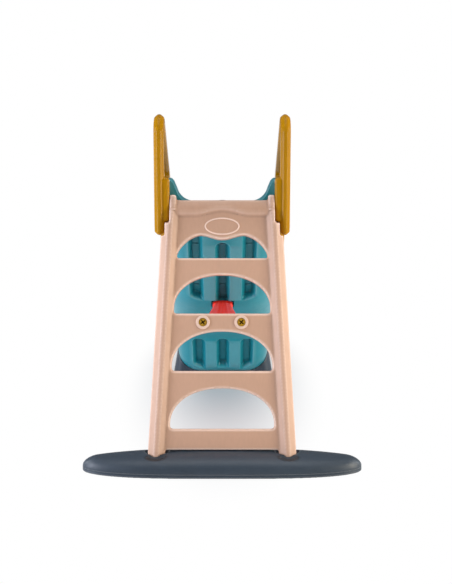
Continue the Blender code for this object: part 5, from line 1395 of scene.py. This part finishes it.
def strut_screw(name, side, turn):
    """A screw turned to an angle, whose cross recess is painted dark as shade."""
    head = 0.5 * STRUT_SCREW_HEAD
    shank = 0.5 * STRUT_SCREW_SHANK
    top = BOSS_RELIEF - HEAD_SUNK
    seat = BOSS_RELIEF - STRUT_SCREW_HEIGHT + 0.0004
    tip = BOSS_RELIEF - STRUT_SCREW_LENGTH
    profile = [(0.6 * shank, tip), (shank, tip + 0.004)]
    level = tip + 0.006
    while level < seat - 0.012:
        profile += [(shank, level), (shank - THREAD_DEPTH, level + THREAD_FLANK)]
        profile.append((shank, level + 2.0 * THREAD_FLANK))
        level += THREAD_PITCH
    profile += [(shank, seat), (head, seat), (head, top - HEAD_RIM)]
    for degrees in (30, 60, 90):
        angle = math.radians(degrees)
        inward = HEAD_ROUND * (1.0 - math.cos(angle))
        profile.append((head - inward, top - HEAD_RIM + HEAD_ROUND * math.sin(angle)))
    profile += [(share * head, top + rise) for share, rise in HEAD_FACE]
    rings = []
    for radius, height in profile:
        angles = [math.tau * step / 64 for step in range(64)]
        rings.append([(radius * math.cos(angle), radius * math.sin(angle), height) for angle in angles])
    place = ON_LADDER @ Matrix.Translation((side * STRUT_SCREW_X, STRUT_ROOT_V, 0.0))
    screw = skin(rings, name, place)
    for quarter in (0.0, 0.5 * math.pi):
        slot_place = place @ Matrix.Rotation(turn + quarter, 4, "Z")
        arms = []
        for a, b, rise in CROSS:
            arms.append([(x, y, top + rise) for x, y in ((-a, -b), (a, -b), (a, b), (-a, b))])
        work(screw, skin(arms, "recess", slot_place), "DIFFERENCE")
    screw.data.shade_smooth()
    screw.data.set_sharp_from_angle(angle=math.radians(32.0))
    mark_bends(screw, passes=1)
    screw.data.materials.append(weathered_mustard)
    # Painted shade: the faces inside the cross recess get a near-black material.
    screw.data.materials.append(recess_shade_plastic)
    back = place.inverted()
    for face in screw.data.polygons:
        spot = back @ face.center
        in_cross = seat < spot.z < top - 0.0003 and math.hypot(spot.x, spot.y) < 0.68 * head
        face.material_index = 1 if in_cross else 0
    return screw


mustard_plastic = moulded_material(
    "mustard polyethylene", MUSTARD, 0.10, mottling=0.05, flow_lines=0.03, edge_wear=0.008,
    crease_dust=0.55, roughness=0.20, scuffs=0.05, peel=0.0, waves=0.0
)
weathered_mustard = moulded_material(
    "weathered mustard plastic", WEATHERED_MUSTARD, 0.10, mottling=0.14, flow_lines=0.05,
    edge_wear=0.02, crease_dust=0.80, roughness=0.42, peel=0.00001
)
recess_shade_plastic = moulded_material(
    "painted recess shade", RECESS_SHADE, 0.10, mottling=0.30, flow_lines=0.0, edge_wear=0.0, roughness=0.75
)
for word, side, turn in (("left", -1.0, 0.62), ("right", 1.0, 0.86)):
    screw = strut_screw("strut_screw_" + word, side, turn)
    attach(screw, "slide")
    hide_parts("brace_screw_" + word)


# Handrails: two hollow mustard loops with chamfered edges and a recessed web below the grip opening. A
# thick pad on the inside sits against the ladder's tongue, and screws hold each to ladder and chute.

GRIP_THICKNESS = 0.0295
GRIP_BAR = 0.035
GRIP_REAR_Y = 0.183
GRIP_BOTTOM_Z = 0.6375
GRIP_TOP_Z = 0.9799
GRIP_FALL = 0.65
GRIP_TOP_BEND = 0.0576
GRIP_FRONT_Y = 0.603
GRIP_FRONT_BOTTOM_Z = 0.490
WEB_TOP_Z = 0.808
WEB_TOP_FALL = 0.135
WEB_BOTTOM_Z = 0.668
WEB_TURN_Y = 0.408
WEB_TURN_Z = 0.676
PAD_REAR_Y = 0.1880
PAD_FRONT_Y = 0.2440
PAD_REAR_TOP_Z = 0.805
PAD_FRONT_TOP_Z = 0.797
PAD_EMBED = 0.012
PAD_EDGE = 0.008
RECESS_DEPTH = 0.006
RECESS_EDGE = 0.003
# The loop's rounded edge: distance in from its outline, and depth from its face.
GRIP_CHAMFER = (
    (0.0125, 0.0), (0.0100, 0.0003), (0.0082, 0.0014), (0.0014, 0.0093), (0.0004, 0.0108), (0.0, 0.0125)
)


def grip_outlines():
    """The loop's outer outline and its grip opening, in (y, z)."""
    rise = math.sqrt(1.0 + GRIP_FALL**2)
    corner_z = GRIP_TOP_Z - GRIP_TOP_BEND + GRIP_TOP_BEND * rise + GRIP_FALL * GRIP_TOP_BEND
    front_z = corner_z - GRIP_FALL * (GRIP_FRONT_Y - GRIP_REAR_Y)
    outer = rounded(
        [
            (GRIP_REAR_Y, GRIP_BOTTOM_Z, 0.0135),
            (GRIP_REAR_Y + GRIP_BAR, GRIP_BOTTOM_Z, 0.0135),
            (GRIP_REAR_Y + GRIP_BAR, WEB_BOTTOM_Z, 0.004),
            (WEB_TURN_Y, WEB_TURN_Z, 0.060),
            (GRIP_FRONT_Y - 0.048, GRIP_FRONT_BOTTOM_Z, 0.022),
            (GRIP_FRONT_Y, GRIP_FRONT_BOTTOM_Z, 0.020),
            (GRIP_FRONT_Y, front_z, 0.060),
            (GRIP_REAR_Y, corner_z, GRIP_TOP_BEND),
        ],
        10,
    )
    inside_y = GRIP_REAR_Y + GRIP_BAR
    upper_z = corner_z - GRIP_BAR * rise - GRIP_FALL * GRIP_BAR
    run = (upper_z - WEB_TOP_Z) / (GRIP_FALL - WEB_TOP_FALL)
    hole = rounded(
        [
            (inside_y, WEB_TOP_Z, 0.018),
            (inside_y + run, WEB_TOP_Z - WEB_TOP_FALL * run, 0.009),
            (inside_y, upper_z, 0.026),
        ],
        10,
    )
    return outer, hole


# A handrail is drawn in (y, z) and stands across X.
UPRIGHT = Matrix(((0, 0, 1, 0), (1, 0, 0, 0), (0, 1, 0, 0), (0, 0, 0, 1)))
outer, hole = grip_outlines()
levels = [(inward, GRIP_INNER_X + level) for inward, level in GRIP_CHAMFER]
levels += [(inward, GRIP_INNER_X + GRIP_THICKNESS - level) for inward, level in reversed(GRIP_CHAMFER)]
grip = plate(outer, levels, "handrail_moulding_right", UPRIGHT)
hole_levels = [(-inward, level) for inward, level in levels]
outside = GRIP_INNER_X + GRIP_THICKNESS
flare = -GRIP_CHAMFER[0][0]
hole_levels = [(flare, GRIP_INNER_X - 0.01)] + hole_levels + [(flare, outside + 0.01)]
work(grip, plate(hole, hole_levels, "grip_opening", UPRIGHT), "DIFFERENCE")
pad = rounded(
    [
        (PAD_REAR_Y, PAD_BOTTOM_Z, 0.010),
        (PAD_FRONT_Y, PAD_BOTTOM_Z, 0.006),
        (PAD_FRONT_Y, PAD_FRONT_TOP_Z, 0.006),
        (PAD_REAR_Y, PAD_REAR_TOP_Z, 0.010),
    ]
)
pad_levels = edge_levels(TONGUE_OUTER_X + FIT_GAP, GRIP_INNER_X + PAD_EMBED, PAD_EDGE, 6)
work(grip, plate(pad, pad_levels, "pad", UPRIGHT), "UNION")
recess = rounded(
    [
        (GRIP_REAR_Y + GRIP_BAR, WEB_BOTTOM_Z + 0.017, 0.012),
        (WEB_TURN_Y + 0.0068, WEB_TURN_Z + 0.017, 0.030),
        (GRIP_FRONT_Y - 0.080, WEB_TURN_Z - 0.0595, 0.012),
        (GRIP_FRONT_Y - 0.060, WEB_TOP_Z - 0.085, 0.012),
        (GRIP_REAR_Y + GRIP_BAR, WEB_TOP_Z - 0.0255, 0.012),
    ]
)
recess_levels = edge_levels(outside - RECESS_DEPTH, outside + 0.02, RECESS_EDGE)
work(grip, plate(recess, recess_levels, "recess", UPRIGHT), "DIFFERENCE")
blow(grip, grain=0.0017, passes=16)
for node in ("handrail_rail_screw_right", "handrail_deck_screw_right", "handrail_wall_screw_right"):
    screw_seat(grip, node, 0, 1.0)
other_grip = mirrored(grip, "handrail_moulding_left")
for piece, node in ((grip, "handrail_right"), (other_grip, "handrail_left")):
    piece.data.shade_smooth()
    mark_bends(piece, passes=14)
    piece.data.materials.append(mustard_plastic)
    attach(piece, "slide")
    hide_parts(node)


# Small screws: zinc-plated pan heads that hold the handrails, the base bar and the front foot. Their
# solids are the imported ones, with a brushed plated finish.

ZINC = (0.560, 0.565, 0.575)
DULL_ZINC = (0.42, 0.42, 0.43)


def plated_material():
    """Zinc plating with a fine spangle in its tone, gloss and relief."""
    material, tree = node_material("zinc-plated steel")
    spot = add_node(tree, "ShaderNodeTexCoord", {}).outputs["Object"]
    grain = {"Vector": spot, "Scale": 420.0, "Detail": 3.0}
    spangle = add_node(tree, "ShaderNodeTexNoise", grain).outputs["Fac"]
    tone = add_node(tree, "ShaderNodeValToRGB", {"Fac": spangle})
    for element, position, colour in zip(tone.color_ramp.elements, (0.3, 0.7), (DULL_ZINC, ZINC)):
        element.position = position
        element.color = (*colour, 1.0)
    rough = add_node(tree, "ShaderNodeMapRange", {"Value": spangle, "To Min": 0.24, "To Max": 0.44})
    relief = {"Strength": 0.2, "Distance": 0.0002, "Height": spangle}
    finish = {
        "Metallic": 1.0,
        "Base Color": tone.outputs["Color"],
        "Roughness": rough.outputs["Result"],
        "Normal": add_node(tree, "ShaderNodeBump", relief).outputs["Normal"],
    }
    feed(tree, tree.nodes["Principled BSDF"], finish)
    return material


def refinish(node, material):
    """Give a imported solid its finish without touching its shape."""
    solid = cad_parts[node]
    solid.data.materials.clear()
    solid.data.materials.append(material)


plated = plated_material()
for word in ("left", "right"):
    for place in ("base", "front_foot", "handrail_rail", "handrail_deck", "handrail_wall"):
        refinish(place + "_screw_" + word, plated)


# Water inlet: a slate nozzle through the deck with its rubber gasket, lock nut and hose tail, and the
# mustard nut below that a garden hose is screwed into and that turns freely.

RUBBER = (0.022, 0.022, 0.024)
rubber = moulded_material(
    "black rubber", RUBBER, 0.30, mottling=0.12, flow_lines=0.0, edge_wear=0.05, roughness=0.72
)
for node in ("spray_nozzle", "inlet_lock_nut", "hose_tail"):
    refinish(node, slate_plastic)
for node in ("nozzle_gasket", "hose_washer"):
    refinish(node, rubber)
refinish("hose_nut", mustard_plastic)


# Studio: a white sweep of floor that keeps the soft grey shadow, two broad lights at each side and one
# overhead, and the camera behind the ladder, a little above its top step.

FLOOR_RADIUS = 14.0
# The floor's shadowed middle is an oval round the slide; beyond it the paper fades to white.
FADE_SHIFT = (0.0, -0.74, 0.0)
FADE_SCALE = (2.7, 0.82, 1.0)
PAPER_DARK = (0.72, 0.73, 0.75, 1.0)
PAPER_LIGHT = (0.76, 0.77, 0.78, 1.0)
PAPER_SEEN = (0.63, 0.65, 0.68, 1.0)
WORLD_LIGHT = 0.20


def stage_floor():
    """A round sheet of floor, wide enough to reach past the camera's view on every side."""
    bm = bmesh.new()
    bmesh.ops.create_circle(bm, cap_ends=True, segments=96, radius=FLOOR_RADIUS)
    floor = piece_from("studio_floor", bm, Matrix.Translation((0.0, 0.0, -FIT_GAP)))
    floor.data.shade_flat()
    return floor


def either(tree, first, second):
    return add_node(tree, "ShaderNodeMath", {0: first, 1: second}, operation="MAXIMUM").outputs["Value"]


def floor_material():
    """Matt white paper near the slide, which fades into the white backdrop further out."""
    material, tree = node_material("white studio floor")
    tree.nodes.remove(tree.nodes["Principled BSDF"])
    spot = add_node(tree, "ShaderNodeTexCoord", {}).outputs["Object"]
    grain = add_node(tree, "ShaderNodeTexNoise", {"Vector": spot, "Scale": 3.0}).outputs["Fac"]
    tones = {"Factor": grain, "A": PAPER_DARK, "B": PAPER_LIGHT}
    tone = add_node(tree, "ShaderNodeMix", tones, data_type="RGBA").outputs["Result"]
    rays = add_node(tree, "ShaderNodeLightPath", {}).outputs
    tones = {"Factor": rays["Is Camera Ray"], "A": tone, "B": PAPER_SEEN}
    colour = add_node(tree, "ShaderNodeMix", tones, data_type="RGBA").outputs["Result"]
    paper = add_node(tree, "ShaderNodeBsdfDiffuse", {"Color": colour}).outputs["BSDF"]
    glow = add_node(tree, "ShaderNodeEmission", {"Strength": 1.0}).outputs["Emission"]
    oval = {"Vector": spot, "Location": FADE_SHIFT, "Scale": FADE_SCALE}
    oval = add_node(tree, "ShaderNodeMapping", oval).outputs["Vector"]
    away = add_node(tree, "ShaderNodeVectorMath", {0: oval}, operation="LENGTH").outputs["Value"]
    reach = {"Value": away, "From Min": 0.06, "From Max": 1.0}
    fade = add_node(tree, "ShaderNodeMapRange", reach, interpolation_type="SMOOTHSTEP").outputs["Result"]
    seen = either(tree, rays["Is Camera Ray"], rays["Is Glossy Ray"])
    share = add_node(tree, "ShaderNodeMath", {0: fade, 1: seen}, operation="MULTIPLY").outputs["Value"]
    both = add_node(tree, "ShaderNodeMixShader", {"Fac": share, 1: paper, 2: glow}).outputs["Shader"]
    feed(tree, tree.nodes["Material Output"], {"Surface": both})
    return material


floor = stage_floor()
floor.data.materials.append(floor_material())

world = bpy.data.worlds.new("studio")
bpy.context.scene.world = world
world.use_nodes = True
tree = world.node_tree
rays = add_node(tree, "ShaderNodeLightPath", {}).outputs
seen = either(tree, rays["Is Camera Ray"], rays["Is Transmission Ray"])
level = add_node(tree, "ShaderNodeMapRange", {"Value": seen, "To Min": WORLD_LIGHT, "To Max": 1.0})
backdrop = {"Color": (1.0, 1.0, 1.0, 1.0), "Strength": level.outputs["Result"]}
feed(tree, tree.nodes["Background"], backdrop)


def soft_light(name, place, aim, size, watts, colour):
    light = bpy.data.lights.new(name, "AREA")
    light.shape = "RECTANGLE"
    light.size = size[0]
    light.size_y = size[1]
    light.energy = watts
    light.color = colour
    lamp = bpy.data.objects.new(name, light)
    lamp.location = place
    lamp.rotation_euler = (Vector(aim) - Vector(place)).to_track_quat("-Z", "Y").to_euler()
    bpy.context.collection.objects.link(lamp)


front_size = (0.9, 1.7)
rear_size = (0.9, 1.1)
soft_light("left softbox", (-2.3, -0.75, 0.75), (0.0, 0.1, 0.40), front_size, 50.0, (0.86, 0.89, 1.0))
soft_light("right softbox", (2.3, -0.75, 0.75), (0.0, 0.1, 0.40), front_size, 49.0, (1.0, 0.92, 0.77))
soft_light("left rear softbox", (-2.1, 0.55, 1.1), (0.0, 0.4, 0.45), rear_size, 16.0, (0.92, 0.96, 1.0))
soft_light("right rear softbox", (2.1, 0.55, 1.1), (0.0, 0.4, 0.45), rear_size, 16.0, (0.92, 0.96, 1.0))
soft_light("overhead", (0.0, 0.0, 2.9), (0.0, 0.1, 0.0), (2.2, 2.2), 30.0, (1.0, 1.0, 1.0))

camera = bpy.data.objects.new("camera", bpy.data.cameras.new("camera"))
camera.data.sensor_width = 36.0
camera.data.lens = 69.2
camera.data.clip_start = 0.05
camera.location = (0.011, -3.0, 1.121)
camera.rotation_euler = (math.radians(78.5), 0.0, 0.0)
bpy.context.collection.objects.link(camera)
bpy.context.scene.camera = camera
bpy.context.scene.view_settings.view_transform = "Standard"
